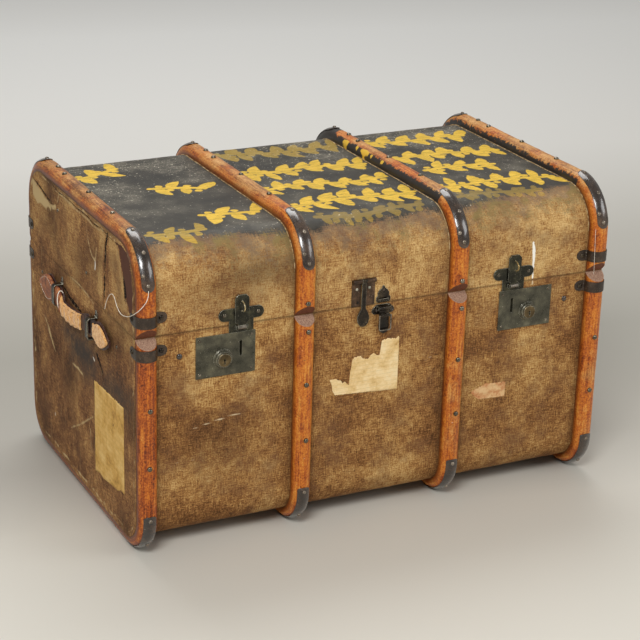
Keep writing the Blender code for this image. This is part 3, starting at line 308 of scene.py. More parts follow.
def new_material(name):
    """A new material, and the function that adds nodes to it."""
    material = bpy.data.materials.new(name)
    material.use_nodes = True
    return material, partial(add_node, material.node_tree)


def add_up(node, total, *terms):
    """A sum of patterns: the total so far, plus each pattern times its weight."""
    for pattern, weight in terms:
        total = node("Math", pattern, weight, total)
    return total


def lay_over(node, under, *layers):
    """Lays colours over one another, each from nothing to its most as a value goes between two numbers."""
    for value, nothing, full, most, over in layers:
        cover = node("MapRange", value, From_Min=nothing, From_Max=full, To_Max=most)
        under = node("Mix", cover, under, over)
    return under


print("Middle grey #808080 is", round(colour("#808080")[0], 3), "in linear light")

# %% [markdown]
# ## Painted canvas
#
# The box is covered with coarse cotton canvas, glued on and painted brown. Close up it is threads over and
# under each other, and from a few steps away it is slubs: thick places in single threads, drawn out along
# the weft or the warp. The threads are about 0.8 mm apart, too fine for the picture, so they are drawn
# wider apart. The brown is patchy, with rubbed places where the cloth's own tan shows. The pattern follows
# the map that each piece carries.

# %% The canvas under its paint
THREAD = 2.0 * MM
SLUB = 15 * MM
MATT = 0.2
# TexWave draws a band in every 2 pi / 20 of its length
BAND = math.tau / 20
CANVAS_TONES = [(0.18, "#4C321A"), (0.36, "#764E2A"), (0.48, "#95693A"), (0.62, "#B48C54"), (0.80, "#D2AF75")]


def cloth_base(node, tones, lighter):
    """Adds the threads, patches and soil of painted canvas. Returns its colour, threads and height."""
    cloth, place = node("UVMap"), node("TexCoord")
    warp, weft = (
        node("TexNoise", node("Mapping", cloth, Scale=scale), Scale=1.0, Detail=2.0)
        for scale in ((1 / THREAD, 1 / SLUB, 1), (1 / SLUB, 1 / THREAD, 1))
    )
    threads = node("Math", warp, weft, operation="ADD")
    patches, mottle, grains, stain = (
        node("TexNoise", place, Scale=1 / size, Detail=detail, Roughness=rough)
        for size, detail, rough in ((0.085, 5, 0.6), (0.016, 4, 0.65), (0.0024, 2, 0.6), (0.055, 7, 0.66))
    )
    rub, soil = (node("Attribute", attribute_name=mark) for mark in ("rub", "soil"))
    weights = (patches, 0.82), (mottle, 0.36), (threads, 0.54), (grains, 0.66), (rub, 0.16)
    paint = node("ValToRGB", add_up(node, lighter - 1.03, *weights), stops=tones)
    # The soil mark is dirt, and beside the lid's and the body's slats it is also painted shade
    soil = add_up(node, soil, (threads, 0.5))
    paint = lay_over(node, paint, (stain, 0.48, 0.70, 0.66, "#6A4A33"), (soil, 0.55, 1.45, 0.9, "#3A2A1C"))
    over, under = (node("TexWave", cloth, Scale=BAND / THREAD, bands_direction=way) for way in "XY")
    weave = node("Math", over, under, operation="MULTIPLY")
    return paint, threads, add_up(node, threads, (weave, 0.35))


# Glued canvas under matt brown paint: patchy, with rubbed threads and a few pale scratches
brown_canvas, node = new_material("brown_painted_canvas")
paint, threads, height = cloth_base(node, CANVAS_TONES, 0.02)
scar = add_up(node, node("Attribute", attribute_name="scar"), (threads, 1.6))
paint = lay_over(node, paint, (scar, 2.3, 1.2, 1, "#C9B491"))
bump = node("Bump", Height=height, Strength=0.5, Distance=0.5 * MM)
node(SHADER, Base_Color=paint, Roughness=0.85, Specular_IOR_Level=MATT, Normal=bump)
print("Canvas threads are drawn", THREAD / MM, "mm apart")

# %% [markdown]
# ## The black top and its yellow twigs
#
# The top was painted black by hand, and the paint runs out unevenly over the front corner, where the brush
# was dry and only the threads' crests took it. Yellow twigs are painted on the black. A picture could hold
# such marks, but then their edges would be only as sharp as its pixels. Here each point of the canvas knows
# how many millimetres it is from the nearest mark, below zero inside one. That distance changes smoothly,
# so a coarse grid carries it, and the material cuts it off sharply, with a little noise that makes the edge
# a brush's edge.

# %% Black paint and yellow paint
# Thick black paint, with grey scuffs and specks and a painted sheen that grow towards the back, thinning to
# brown canvas, with raised yellow paint
painted_canvas, node = new_material("painted_canvas_top")
brown, threads, height = cloth_base(node, CANVAS_TONES, 0.16)
place = node("TexCoord")
ragged, fine, clouds, speck = (
    node("TexNoise", place, Scale=1 / size, Detail=detail, Roughness=rough)
    for size, detail, rough in ((0.022, 6, 0.7), (0.0035, 3, 0.6), (0.07, 7, 0.62), (0.0045, 3, 0.65))
)
LID_MARKS = ("black", "yellow", "fade", "scar")
black, yellow, fade, scar = (node("Attribute", attribute_name=mark) for mark in LID_MARKS)
drag = node("Mapping", place, Scale=(1 / 0.024, 1 / 0.0017, 1 / 0.004))
drag = node("TexNoise", drag, Scale=1.0, Detail=5.0, Roughness=0.75)
depth = node("SeparateXYZ", place, output="Y")
# Lighter towards the back: partly real scuffs and specks, partly a painted sheen on the black
rubbed = node("MapRange", depth, From_Min=-0.1, From_Max=0.26, To_Max=0.2)
rubbed = add_up(node, rubbed, (clouds, 0.6))
scuff = add_up(node, rubbed, (drag, 1.6))
speck = add_up(node, speck, (rubbed, 0.35))
tar = node("ValToRGB", clouds, stops=[(0.33, "#27241E"), (0.5, "#39352D"), (0.68, "#575247")])
tar = lay_over(node, tar, (scuff, 1.34, 1.40, 0.62, "#8C8574"), (speck, 0.78, 0.80, 0.9, "#C6BEAA"))

haze = add_up(node, black, (ragged, 130), (threads, -60))
haze = node("MapRange", haze, From_Min=52, From_Max=8, To_Max=0.74)
smear = node("MapRange", clouds, From_Min=0.5, From_Max=0.56, To_Max=0.8)
smear = node("Math", smear, haze, operation="MULTIPLY")
brown = node("Mix", smear, node("Mix", haze, brown, "#6B5848"), "#80703A")
black = add_up(node, black, (ragged, 22), (threads, -34))
black = node("MapRange", black, From_Min=-22, From_Max=-34)
top = node("Mix", black, brown, tar)

yellow = add_up(node, yellow, (ragged, 5.0), (fine, 2.6))
yellow = node("MapRange", yellow, From_Min=4.3, From_Max=3.5)
worn = node("MapRange", add_up(node, fade, (drag, 0.75)), From_Min=1.0, From_Max=0.45, To_Min=0.1)
yellow = node("Math", yellow, worn, operation="MULTIPLY")
thick = node("ValToRGB", drag, stops=[(0.36, "#7C7422"), (0.47, "#CBA22B"), (0.6, "#EFC744")])
top = node("Mix", yellow, top, thick)
top = lay_over(node, top, (add_up(node, scar, (fine, 3.0)), 2.1, 1.4, 1, "#F2EEE2"))
gloss = node("MapRange", black, To_Min=0.85, To_Max=0.5)
bump = node("Bump", Height=add_up(node, height, (yellow, 0.8)), Strength=0.45, Distance=0.5 * MM)
node(SHADER, Base_Color=top, Roughness=gloss, Specular_IOR_Level=0.3, Normal=bump)
print("Black and yellow paint lie over the canvas by their distance marks")

# %% [markdown]
# ## The worn ends
#
# The canvas on the ends is darker, with soot-black paint round the handle, long pale scuffs and real tears.
# Where it is torn, its back and its loose threads are pale, and where a strip has gone, the red-brown board
# shows. The marks on this piece are distances too: to a crack, to a bare place, to soot and to a pale edge.

# %% Torn canvas
END_TONES = [(0.18, "#3C2514"), (0.36, "#64432A"), (0.48, "#835A39"), (0.62, "#A67A49"), (0.80, "#CCA66C")]
# Each mark's colour, how far its edge wanders and how soft it is, in millimetres
END_MARKS = {
    "soot": ("#453C36", 90, 60),
    "pale": ("#C4AA7B", 10, 3),
    "bare": ("#5A3A2E", 9, 1.5),
    "scar": ("#E4DED2", 1.6, 1),
    "crack": ("#1E120B", 3, 1.2),
}
# Darker canvas with upright pale scuffs, soot, bare board and black cracks
torn_canvas, node = new_material("torn_end_canvas")
paint, threads, height = cloth_base(node, END_TONES, 0.04)
place = node("TexCoord")
streak = node("Mapping", place, Scale=(1, 1 / 0.006, 1 / 0.07), Rotation=(0.12, 0, 0))
streak = node("TexNoise", streak, Scale=1.0, Detail=5.0, Roughness=0.68)
paint = lay_over(node, paint, (streak, 0.58, 0.72, 0.6, "#A98A5E"))
ragged = node("TexNoise", place, Scale=1 / 0.012, Detail=6.0, Roughness=0.7)
for mark, (code, reach, spread) in END_MARKS.items():
    distance = add_up(node, node("Attribute", attribute_name=mark), (ragged, reach))
    paint = lay_over(node, paint, (distance, (reach + spread) / 2, (reach - spread) / 2, 1, code))
bump = node("Bump", Height=height, Strength=0.5, Distance=0.5 * MM)
node(SHADER, Base_Color=paint, Roughness=0.8, Specular_IOR_Level=MATT, Normal=bump)
print("Torn canvas shows", ", ".join(END_MARKS))

# %% [markdown]
# ## Wood, iron, steel, leather and paper
#
# The slats are ash or hickory, steamed and bent, under an orange-brown varnish that has darkened in the
# grain and worn off the crown. Grain is one noise drawn out sixty times along the slat. The caps are
# japanned iron: a thick black baked varnish, glossy where it is whole, brown where it has rubbed, so its
# gloss varies more than its colour. The locks are steel gone grey-green, and the handle is vegetable-tanned
# leather with a raw fibrous core.

# %% Bentwood
GRAIN = 1.1 * MM
# Orange varnish over streaky grain, bare on the crown, darker towards the foot, with chips, tar and yellow
# dabs
bentwood, node = new_material("varnished_bentwood")
grain, place = node("UVMap"), node("TexCoord")
# Each pattern's scale across and along the grain, its detail and its roughness
WOOD_PATTERNS = [
    ((1 / GRAIN, 1 / (60 * GRAIN), 1), 3, 0.6),
    ((1 / 0.008, 1 / 0.11, 1), 3, 0.5),
    ((1 / 0.016, 1 / 0.06, 1), 7, 0.72),
]
fibre, figure, red_brown = (
    node("TexNoise", node("Mapping", grain, Scale=scale), Scale=1.0, Detail=detail, Roughness=rough)
    for scale, detail, rough in WOOD_PATTERNS
)
patches, flecks, dirt, flake = (
    node("TexNoise", place, Scale=1 / size, Detail=detail, Roughness=rough)
    for size, detail, rough in ((0.035, 6, 0.66), (0.0032, 3, 0.65), (0.009, 5, 0.72), (0.005, 4, 0.7))
)
SLAT_MARKS = ("fresh", "bleach", "crown", "tar", "dab")
fresh, bleach, crown, tar, dab = (node("Attribute", attribute_name=mark) for mark in SLAT_MARKS)
tone = add_up(node, -0.47, (fibre, 0.46), (figure, 0.42), (patches, 0.44), (flecks, 0.62), (fresh, 1))
varnish = [(0.28, "#4A1C0A"), (0.41, "#94420F"), (0.52, "#C0671C"), (0.66, "#D38A32"), (0.80, "#E2AC58")]
bare_wood = node("ValToRGB", tone, stops=[(0.34, "#6A4220"), (0.5, "#AE7D44"), (0.68, "#D2A468")])
layers = [
    (red_brown, 0.54, 0.64, 0.6, "#7C3315"),
    (add_up(node, bleach, (patches, 1.6)), 1.02, 1.5, 0.85, bare_wood),
    (crown, 0.6, 0.0, 0.9, "#452415"),
    (dirt, 0.64, 0.70, 0.75, "#3A2015"),
    (add_up(node, tar, (dirt, 0.9)), 0.93, 1.0, 1, "#2C2622"),
    (flake, 0.7, 0.74, 0.75, "#DCCBB4"),
    (add_up(node, dab, (dirt, 5.0)), 3.0, 2.2, 1, "#D9AE35"),
]
wood = lay_over(node, node("ValToRGB", tone, stops=varnish), *layers)
dull = node("MapRange", patches, From_Min=0.35, From_Max=0.65, To_Min=0.32, To_Max=0.55)
bump = node("Bump", Height=add_up(node, fibre, (dirt, 0.6)), Strength=0.35, Distance=0.4 * MM)
worn_varnish = {"Specular_IOR_Level": 0.3, "Coat_Weight": 0.2, "Coat_Roughness": 0.15}
node(SHADER, Base_Color=wood, Roughness=dull, Normal=bump, **worn_varnish)
print("Wood grain is drawn", GRAIN / MM, "mm wide")


# %% Plain finishes
def plain_finish(name, size, detail, rough, stops, dull, dents=0.0):
    """One noise of a real size, or of one size each way, gives the tones and, where it has any, the dents."""
    material, node = new_material(name)
    noise = node("Mapping", node("TexCoord"), Scale=(1 / np.broadcast_to(size, 3)).tolist())
    noise = node("TexNoise", noise, Scale=1.0, Detail=detail, Roughness=rough)
    shader = {"Base_Color": node("ValToRGB", noise, stops=stops), "Roughness": dull}
    if dents:
        shader["Normal"] = node("Bump", Height=noise, Strength=0.4, Distance=dents)
    node(SHADER, **shader)
    return material


# Wood cut across, open pores drawn 2 mm apart: grey-brown where it is bare
tones = [(0.3, "#6C4E3E"), (0.5, "#96745F"), (0.7, "#B6967E")]
bare_end_grain = plain_finish("bare_end_grain", 2 * MM, 4, 0.7, tones, 0.7, 0.3 * MM)
# The same, red-brown and darker; the darkness is painted shade on the lid slats' cut ends, which face down
tones = [(0.3, "#4A2212"), (0.5, "#6E3A20"), (0.7, "#8A5230")]
stained_end_grain = plain_finish("stained_end_grain", 2 * MM, 4, 0.7, tones, 0.7, 0.3 * MM)
# Planed pine without finish, with lines along it
tones = [(0.3, "#8A6238"), (0.5, "#B58A56"), (0.7, "#CDA773")]
plain_wood = plain_finish("plain_pine", (0.05, 0.05, 0.0015), 4, 0.5, tones, 0.65)
# Plain lining paper, matt and tanned in wide clouds
tones = [(0.3, "#A58A62"), (0.5, "#B69B71"), (0.7, "#C5AD85")]
lining = plain_finish("paper_lining", 0.09, 6, 0.6, tones, 0.85)
# Off-white sewing thread with a twist
linen = plain_finish("linen_thread", 0.0015, 2, 0.5, [(0.3, "#CBBFA8"), (0.6, "#F2ECE0")], 0.8)
# Loose canvas threads, tan to brown
tones = [(0.35, "#6B4F30"), (0.5, "#A88A5C"), (0.7, "#CDB78E")]
canvas_fray = plain_finish("frayed_canvas_thread", 0.006, 3, 0.5, tones, 0.85)
print("Plain finishes are ready")

# %% Iron, steel and brass
WIDE, CLOSE = (0.34, 0.5, 0.62, 0.75), (0.36, 0.5, 0.6, 0.72)


def metal(name, codes, gloss, bare, grit, dents=0.35, chips=None, coat=0.0, places=WIDE):
    """An old metal surface. Two noises, a grit and a patch thirty times as wide, vary its colour and gloss.

    Its codes go from the hollows to the rubbed heights. Chips are flecks of another colour, wherever a third
    noise is at its highest.
    """
    material, node = new_material(name)
    place = node("TexCoord")
    patches = node("TexNoise", place, Scale=1 / (30 * grit), Detail=6.0, Roughness=0.65)
    grains = node("TexNoise", place, Scale=1 / grit, Detail=3.0, Roughness=0.6)
    tone = add_up(node, 0.0, (grains, 0.35), (patches, 0.65))
    surface = node("ValToRGB", tone, stops=list(zip(places, codes.split())))
    if chips:
        flecks = node("TexNoise", place, Scale=1 / (3.2 * MM), Detail=4.0, Roughness=0.7)
        surface = lay_over(node, surface, (flecks, 0.66, 0.72, 0.8, chips))
    dull = node("MapRange", tone, From_Min=0.38, From_Max=0.62, To_Min=gloss[0], To_Max=gloss[1])
    bump = node("Bump", Height=tone, Strength=dents, Distance=(0.3 + dents) * MM)
    varnish = {"Coat_Weight": coat, "Coat_Roughness": 0.12}
    node(SHADER, Base_Color=surface, Roughness=dull, Metallic=bare, Normal=bump, **varnish)
    return material


# Baked black varnish on dented iron: mirror-like streaks, brown where it is rubbed, small grey chips
codes = "#1A120C #2E2118 #4A3626 #7A6048"
japanned_iron = metal("japanned_iron", codes, (0.16, 0.36), 0.0, 0.9 * MM, 0.6, "#B09C88", 1.0, CLOSE)
# Black iron handled until it is oily, almost black with sharp glints
codes = "#120F0C #2B241C #554938 #A09078"
clasp_iron = metal("worn_black_clasp_iron", codes, (0.12, 0.34), 0.6, 0.7 * MM, 0.5, "#C8BCA8")
# Strap iron with thin old varnish and pale chips
codes = "#1E1610 #3A2D22 #5A4838 #907C68"
strap_iron = metal("worn_strap_iron", codes, (0.3, 0.6), 0.45, 0.9 * MM, 0.5, "#D8CCBC", 0.25, CLOSE)
# Iron under a skin of brown rust
codes = "#1E150D #3F2C1C #745840 #C0A080"
rusty_iron = metal("rusty_iron", codes, (0.3, 0.6), 0.4, 0.6 * MM, chips="#C9B4A2", places=(*WIDE[:3], 0.74))
# Blackened steel gone grey-green, satin
codes = "#24251B #4C493C #6E6A56 #A8A28A"
lock_steel = metal("blackened_lock_steel", codes, (0.24, 0.5), 0.5, 0.8 * MM, 0.3, "#C4BEA8")
# The same, darker and glossier from use
codes = "#16160F #33322A #55523F #8E8870"
hasp_steel = metal("blackened_hasp_steel", codes, (0.16, 0.36), 0.75, 0.7 * MM, 0.35, "#C4BEA8")
# Edges and rivets rubbed to bright metal, which catch the light as fine lines: partly real wear, partly a
# painted highlight
edge_wear_and_highlight = metal("bright_worn_edge", "#6A685A #A4A190 #C8C4B0 #E6E0CC", (0.2, 0.4), 0.35, 0.8 * MM, 0.2)
# Bare drawn wire
wire_steel = metal("bright_wire_steel", "#4A443C #7C746A #A59C90 #C8C0B4", (0.22, 0.4), 0.9, 0.4 * MM, 0.15)
# The lock's turned face, brown with a brassy glint
lock_face = metal("worn_lock_face", "#39301F #5F5038 #7F6C4B #A08C66", (0.28, 0.5), 0.85, 0.5 * MM, 0.2)
# Nails hammered smooth, with a small bright spot each
rivet_iron = metal("domed_rivet_iron", "#3A342C #6C6456 #968C7C #C8C0AC", (0.1, 0.22), 0.85, 0.4 * MM, 0.15)
# The caps' rivets, coloured brighter than the varnish round them: a painted highlight on the black rivets
codes = "#3A3028 #74685A #A89C8C #DCD2C4"
cap_rivet_highlight_iron = metal("worn_cap_rivet_iron", codes, (0.1, 0.22), 0.4, 0.4 * MM, 0.15)
# Brass rubbed clean
brass = metal("worn_brass_wire", "#8A7038 #BC9E58 #DCC27C #F0DCA0", (0.15, 0.3), 0.7, 0.4 * MM, 0.1)
print("Materials so far:", len(bpy.data.materials))


# %% Leather and label paper
def leather(name, codes, grit, dull, sheen=0.0, places=(0.36, 0.52, 0.64, 0.8)):
    """Tanned leather: pebbled grain of a real size from a cell pattern, under larger creases."""
    material, node = new_material(name)
    place = node("TexCoord")
    pebble = node("TexVoronoi", place, Scale=1 / grit)
    crease = node("TexNoise", place, Scale=1 / (9 * grit), Detail=6.0, Roughness=0.7)
    tone = add_up(node, crease, (pebble, 0.18))
    hide = node("ValToRGB", tone, stops=list(zip(places, codes.split())))
    bump = node("Bump", Height=tone, Strength=0.6, Distance=0.5 * MM)
    node(SHADER, Base_Color=hide, Roughness=dull, Normal=bump, Sheen_Weight=sheen)
    return material


def label_paper(name, stops, ruling):
    """Old wood-pulp paper, yellowed in patches, with faint ruled lines at a spacing up the sheet."""
    material, node = new_material(name)
    place = node("TexCoord")
    stain, specks = (
        node("TexNoise", place, Scale=1 / size, Detail=detail, Roughness=rough)
        for size, detail, rough in ((0.03, 6, 0.65), (0.004, 4, 0.7))
    )
    tone = add_up(node, -0.05, (specks, 0.3), (stain, 0.8))
    upright = node("Mapping", place, Rotation=(0, math.pi / 2, 0))
    rules = node("TexWave", upright, Scale=BAND / ruling, Distortion=0.4)
    rules = add_up(node, rules, (specks, 0.9))
    sheet = lay_over(node, node("ValToRGB", tone, stops=stops), (rules, 1.32, 1.5, 0.2, "#8A6A3C"))
    bump = node("Bump", Height=tone, Strength=0.3, Distance=0.3 * MM)
    node(SHADER, Base_Color=sheet, Roughness=0.8, Specular_IOR_Level=0.3, Normal=bump)
    return material


# Dressed brown hide with a soft shine, for the whole handle
dressed_leather = leather("dressed_leather", "#2E1A17 #553128 #77472F #96603C", 0.9 * MM, 0.5)
# The raw core of a torn handle: pale orange, dry and fibrous
raw_codes = "#8E4E22 #CA8C4A #E6B06C #F0CA8C"
raw_leather = leather("raw_leather_core", raw_codes, 0.6 * MM, 0.9, 0.3, (0.36, 0.48, 0.62, 0.8))
# Red-brown hide worn at its edges
red_leather = leather("worn_red_leather", "#3E1E14 #74402A #9A5A34 #BC7C48", 0.9 * MM, 0.5)
# Hide blackened by oil and hands
dark_leather = leather("blackened_leather", "#150E0E #2C1C1B #4A2A22 #6A4030", 0.9 * MM, 0.45)

# Cream paper with brown stains
cream = [(0.32, "#B58B4C"), (0.44, "#DDBB80"), (0.56, "#EBCF9C"), (0.8, "#F4E3BC")]
front_paper = label_paper("cream_label_paper", cream, 7 * MM)
# Paper gone ochre with age
ochre = [(0.32, "#A67C3C"), (0.44, "#D0A356"), (0.58, "#E2BC74"), (0.8, "#F0D69C")]
end_paper = label_paper("yellowed_label_paper", ochre, 9 * MM)
# Red paper faded to a brick pink
pink = [(0.32, "#8A5232"), (0.46, "#B9794C"), (0.58, "#D6AE7C"), (0.8, "#E4CBA4")]
scrap_paper = label_paper("faded_red_paper", pink, 12 * MM)
print("Leather and paper are ready")

# %% [markdown]
# ## How far is each point from a mark?
#
# A painted leaf, a scratch and a tear are all lines with a width that changes along them. The distance from
# a point to a straight piece of such a line is a short formula, and numpy works it out for every point of
# the canvas at once.


# %% Distances to lines
def line_distance(points, line):
    """How far points are from a line of (across, along, radius) rows, less than zero inside it.

    For each straight piece: the share of the way along it at the foot of the point, held between 0 and 1,
    then the distance to that foot less the radius there. The nearest piece counts.
    """
    nearest = np.full(points.shape[:-1], 1e3)
    for start, end in zip(line[:-1], line[1:]):
        step = end[:2] - start[:2]
        share = np.clip(((points - start[:2]) @ step) / (step @ step), 0, 1)
        foot = start[:2] + share[..., None] * step
        radius = start[2] + share * (end[2] - start[2])
        nearest = np.minimum(nearest, np.linalg.norm(points - foot, axis=-1) - radius)
    return nearest


def nearest_line(points, lines):
    """The distance to the nearest of several lines."""
    nearest = np.full(points.shape[:-1], 1e3)
    for line in lines:
        nearest = np.minimum(nearest, line_distance(points, np.asarray(line, float)))
    return nearest


def inside_outline(points, outline):
    """How far points are from a closed outline, less than zero inside it.

    A point is inside where a ray from it crosses the outline an odd number of times.
    """
    outline = np.asarray(outline, float)
    closed = np.concatenate([outline, outline[:1]])
    lines = [np.column_stack([closed[i : i + 2], [0, 0]]) for i in range(len(outline))]
    edge = nearest_line(points, lines)
    within = np.zeros(points.shape[:-1], bool)
    for (ax, ay), (bx, by) in zip(closed[:-1], closed[1:]):
        if ay != by:
            crosses = (points[..., 1] > min(ay, by)) & (points[..., 1] <= max(ay, by))
            within ^= crosses & (points[..., 0] < ax + (points[..., 1] - ay) * (bx - ax) / (by - ay))
    return np.where(within, -edge, edge)


def nearest_outline(points, outlines):
    """The distance to the nearest of several outlines."""
    return np.min([inside_outline(points, outline) for outline in outlines], axis=0)


def garland(start, end, leaf, seed):
    """A leafy twig as lines with a radius: a wavy stem, leaves on both sides and berries between them."""
    random = np.random.default_rng(seed)
    start, end = np.array(start, float), np.array(end, float)
    length = np.linalg.norm(end - start)
    forward = (end - start) / length
    side = np.array([-forward[1], forward[0]])
    share = np.linspace(0, 1, 15)
    sway = 6 * np.sin(share * length / 30 + random.uniform(0, 6))
    stem = start + share[:, None] * (end - start) + sway[:, None] * side
    lines = [np.column_stack([stem, np.full(len(stem), 5.2)])]
    count = int(length / 19)
    for index in range(count):
        at = (index + 0.5 + random.uniform(-0.15, 0.15)) / count
        foot = np.array([np.interp(at, share, stem[:, 0]), np.interp(at, share, stem[:, 1])])
        way = 1 if index % 2 else -1
        lean = math.radians(random.uniform(48, 84))
        reach = leaf * random.uniform(0.8, 1.1)
        grown = np.linspace(0, 1, 6)[:, None]
        bend = side * way * math.sin(lean) + forward * math.cos(lean)
        curl = forward * (grown**2 - grown) * random.uniform(-0.7, 0.5)
        width = np.array([4.0, 8.0, 10.6, 10.4, 7.6, 3.0]) * random.uniform(0.85, 1.1) * min(leaf / 36, 1)
        lines.append(np.column_stack([foot + reach * (bend * grown + curl), width]))
        berry = foot - side * way * random.uniform(9, 14) + forward * random.uniform(-3, 3)
        lines.append([(*berry, 5.6), (*(berry + forward * 2.5), 5.2)])
    return lines


# Rows on the top: start and end as (x, distance along the board), leaf length, how faded
ROWS = [
    ((-392, 505), (-304, 530), 42, 0.05),
    ((-292, 408), (-206, 372), 38, 0.05),
    ((-266, 250), (-176, 222), 44, 0.0),
    ((-384, 186), (-290, 174), 30, 0.35),
    ((-116, 540), (116, 522), 42, 0.42),
    ((-118, 428), (116, 412), 42, 0.1),
    ((-118, 332), (114, 322), 34, 0.05),
    ((-116, 236), (118, 232), 46, 0.0),
    ((-96, 166), (98, 164), 22, 0.5),
    ((172, 520), (372, 500), 42, 0.08),
    ((172, 418), (384, 402), 38, 0.08),
    ((196, 334), (330, 326), 40, 0.05),
    ((168, 240), (388, 226), 44, 0.0),
    ((172, 176), (330, 172), 20, 0.5),
]
garlands = [garland(start, end, leaf, 40 + index) for index, (start, end, leaf, _) in enumerate(ROWS)]
print("Yellow marks:", sum(len(lines) for lines in garlands))

# %% [markdown]
# ## The canvas, as thin sheets over the board
#
# The canvas and its paint are half a millimetre thick and not quite even. Painting the board itself would
# leave its few large faces with nowhere to keep the marks, so each board gets its own sheet: a fine grid
# that follows the line round the box, half a millimetre out, with gentle ripples. At its edges the sheet
# turns in and goes down into the board, as canvas does where it is glued round an edge. Sheets are left out
# where a lock's case goes through the board.

# %% Canvas round the lid and the body
SKIN = 0.45 * MM
HEM = 0.9 * MM


def hemmed(first, second, out, low=-HEM):
    """Adds a row and a column round a grid, at the same places but lower, for the sheet's edge."""
    first, second = (np.pad(values, 1, mode="edge") for values in np.broadcast_arrays(first, second))
    lowered = np.full(first.shape, low)
    lowered[1:-1, 1:-1] = out
    return first, second, lowered


def spot(x, along, middle, size):
    """A soft mark, one at its middle: e to the power of minus the square of the distance over its size."""
    return np.exp(-(((x - middle[0]) / size[0]) ** 2) - ((along - middle[1]) / size[1]) ** 2)


def slat_dirt(x):
    """One beside each slat, falling to nothing 14 mm away: the shade that falls in the corner, painted on."""
    near = np.min([np.abs(np.abs(x - middle) - SLAT_HALF) for middle in SLAT_X.values()], axis=0)
    return np.exp(-near / (7 * MM))


def add_canvas(name, part, material, cell, marks_at, holes=()):
    """The sheet round a part, with its marks, left out on the front where its faces lie in a hole."""
    along = np.linspace(-0.05 * MM, TOTAL[part] + 0.05 * MM, round(TOTAL[part] / cell) + 1)
    edge = HALF_LENGTH + SKIN / 2
    x, along = np.meshgrid(np.linspace(-edge, edge, round(2 * edge / cell) + 1), along)
    flat = on_board(part, x, along)
    out = SKIN + 0.12 * MM * ripple(flat, 0.045, 5) + 0.05 * MM * ripple(flat, 0.012, 6)
    x, along, out = hemmed(x, along, out)
    points = on_board(part, x, along, out)
    faces = grid_faces(*x.shape)
    middles = points.reshape(-1, 3)[faces].mean(1)
    in_hole = np.zeros(len(faces), bool)
    for low, high in holes:
        in_hole |= ((middles[:, ::2] > low) & (middles[:, ::2] < high)).all(1)
    keep = ~in_hole | (middles[:, 1] > 0)
    corner_map = grid_map(x[0], along[:, 0])[keep]
    marks = marks_at(x / MM, along / MM)
    return add_piece(name, points, faces[keep], part, material, corner_map, marks, MIDDLE)


# Where the black paint ends on the lid, as x and the distance up from the seam, in millimetres
BLACK_EDGE = [
    (-400, 134), (-374, 142), (-362, 150), (-315, 144), (-249, 138), (-213, 132), (-180, 132), (-156, 125),
    (-106, 122), (-84, 134), (-32, 128), (42, 129), (102, 137), (127, 129), (175, 131), (239, 145),
    (319, 148), (383, 154), (413, 160),
]
# White drips, pale scratches and a pale shield on the front, as (x, distance from the seam, radius)
LID_DRIP = [(288.5, 68, 1.6), (290.8, 53, 2.8), (291.6, 34, 1.9), (291.4, 14, 1.4), (291.6, 3, 1.1)]
BODY_SCRATCHES = [
    [(291.9, 2, 1.3), (291.8, 7, 1.9)],
    [(-339, 170, 0.5), (-310, 164, 0.9), (-286, 160, 1.2), (-262, 156, 0.9), (-248, 157, 0.3)],
    [(82, 120, 0.3), (94, 114, 0.9), (106, 109, 0.4)],
    [(-372, 228, 0.4), (-356, 222, 0.7), (-330, 224, 0.3)],
]
SHIELD = [
    (-350, 62), (-352, 110), (-326, 136), (-282, 146), (-238, 130), (-214, 96), (-212, 48), (-232, 10),
    (-340, 10),
]


def lid_marks(x, along):
    """Marks on the lid's sheet, from distances in millimetres."""
    total = TOTAL["lid"] / MM
    place = np.stack([x, along], -1)
    front_edge = np.interp(x, *np.transpose(BLACK_EDGE)) + 9
    black = np.maximum(front_edge - along, along - (total - front_edge))
    yellow = np.full(x.shape, 1e3)
    fade = np.zeros(x.shape)
    for lines, (_, _, _, row_fade) in zip(garlands, ROWS):
        distance = nearest_line(place, lines)
        fade = np.where(distance < yellow, row_fade, fade)
        yellow = np.minimum(yellow, distance)
    # The soil mark: painted shade beside each slat, a dark line along the lid's edges at the seam, and dirty
    # patches
    soil = 0.32 * slat_dirt(x * MM) + 0.4 * np.exp(-np.minimum(np.abs(along), np.abs(total - along)) / 1.4)
    soil += 0.5 * spot(x, along, (-215, 88), (70, 26)) + 0.32 * spot(x, along, (-270, 60), (110, 50))
    rub = 0.5 * spot(x, along, (230, 120), (60, 20)) + 0.25 * spot(x, along, (290, 60), (90, 60))
    scar = nearest_line(place, [LID_DRIP])
    return {"black": black, "yellow": yellow, "fade": fade, "scar": scar, "soil": soil, "rub": rub}


def body_marks(x, along):
    """Marks on the body's sheet, from distances in millimetres, those along it down from the seam."""
    place = np.stack([x, along], -1)
    patch = np.clip(-inside_outline(place, SHIELD) / 5, 0, 1)
    low = np.exp(-(((along - 330) / 60) ** 2)) * (x > -120)
    # The soil mark: painted shade beside each slat, a little darker low down, a dark line at the seam, and a
    # dirty patch
    soil = 0.36 * slat_dirt(x * MM) + 0.08 * low + 0.5 * np.exp(-np.abs(along) / 1.4)
    soil += 0.33 * spot(x, along, (-290, 190), (70, 70)) * (1 - patch)
    pale = 0.55 * spot(x, along, (290, 105), (60, 24)) + 0.5 * spot(x, along, (20, 300), (130, 30))
    pale += 0.62 * patch + 0.4 * np.exp(-((along / 70) ** 2)) + 0.2 * spot(x, along, (290, 200), (90, 130))
    return {"scar": nearest_line(place, BODY_SCRATCHES), "soil": soil, "rub": pale}


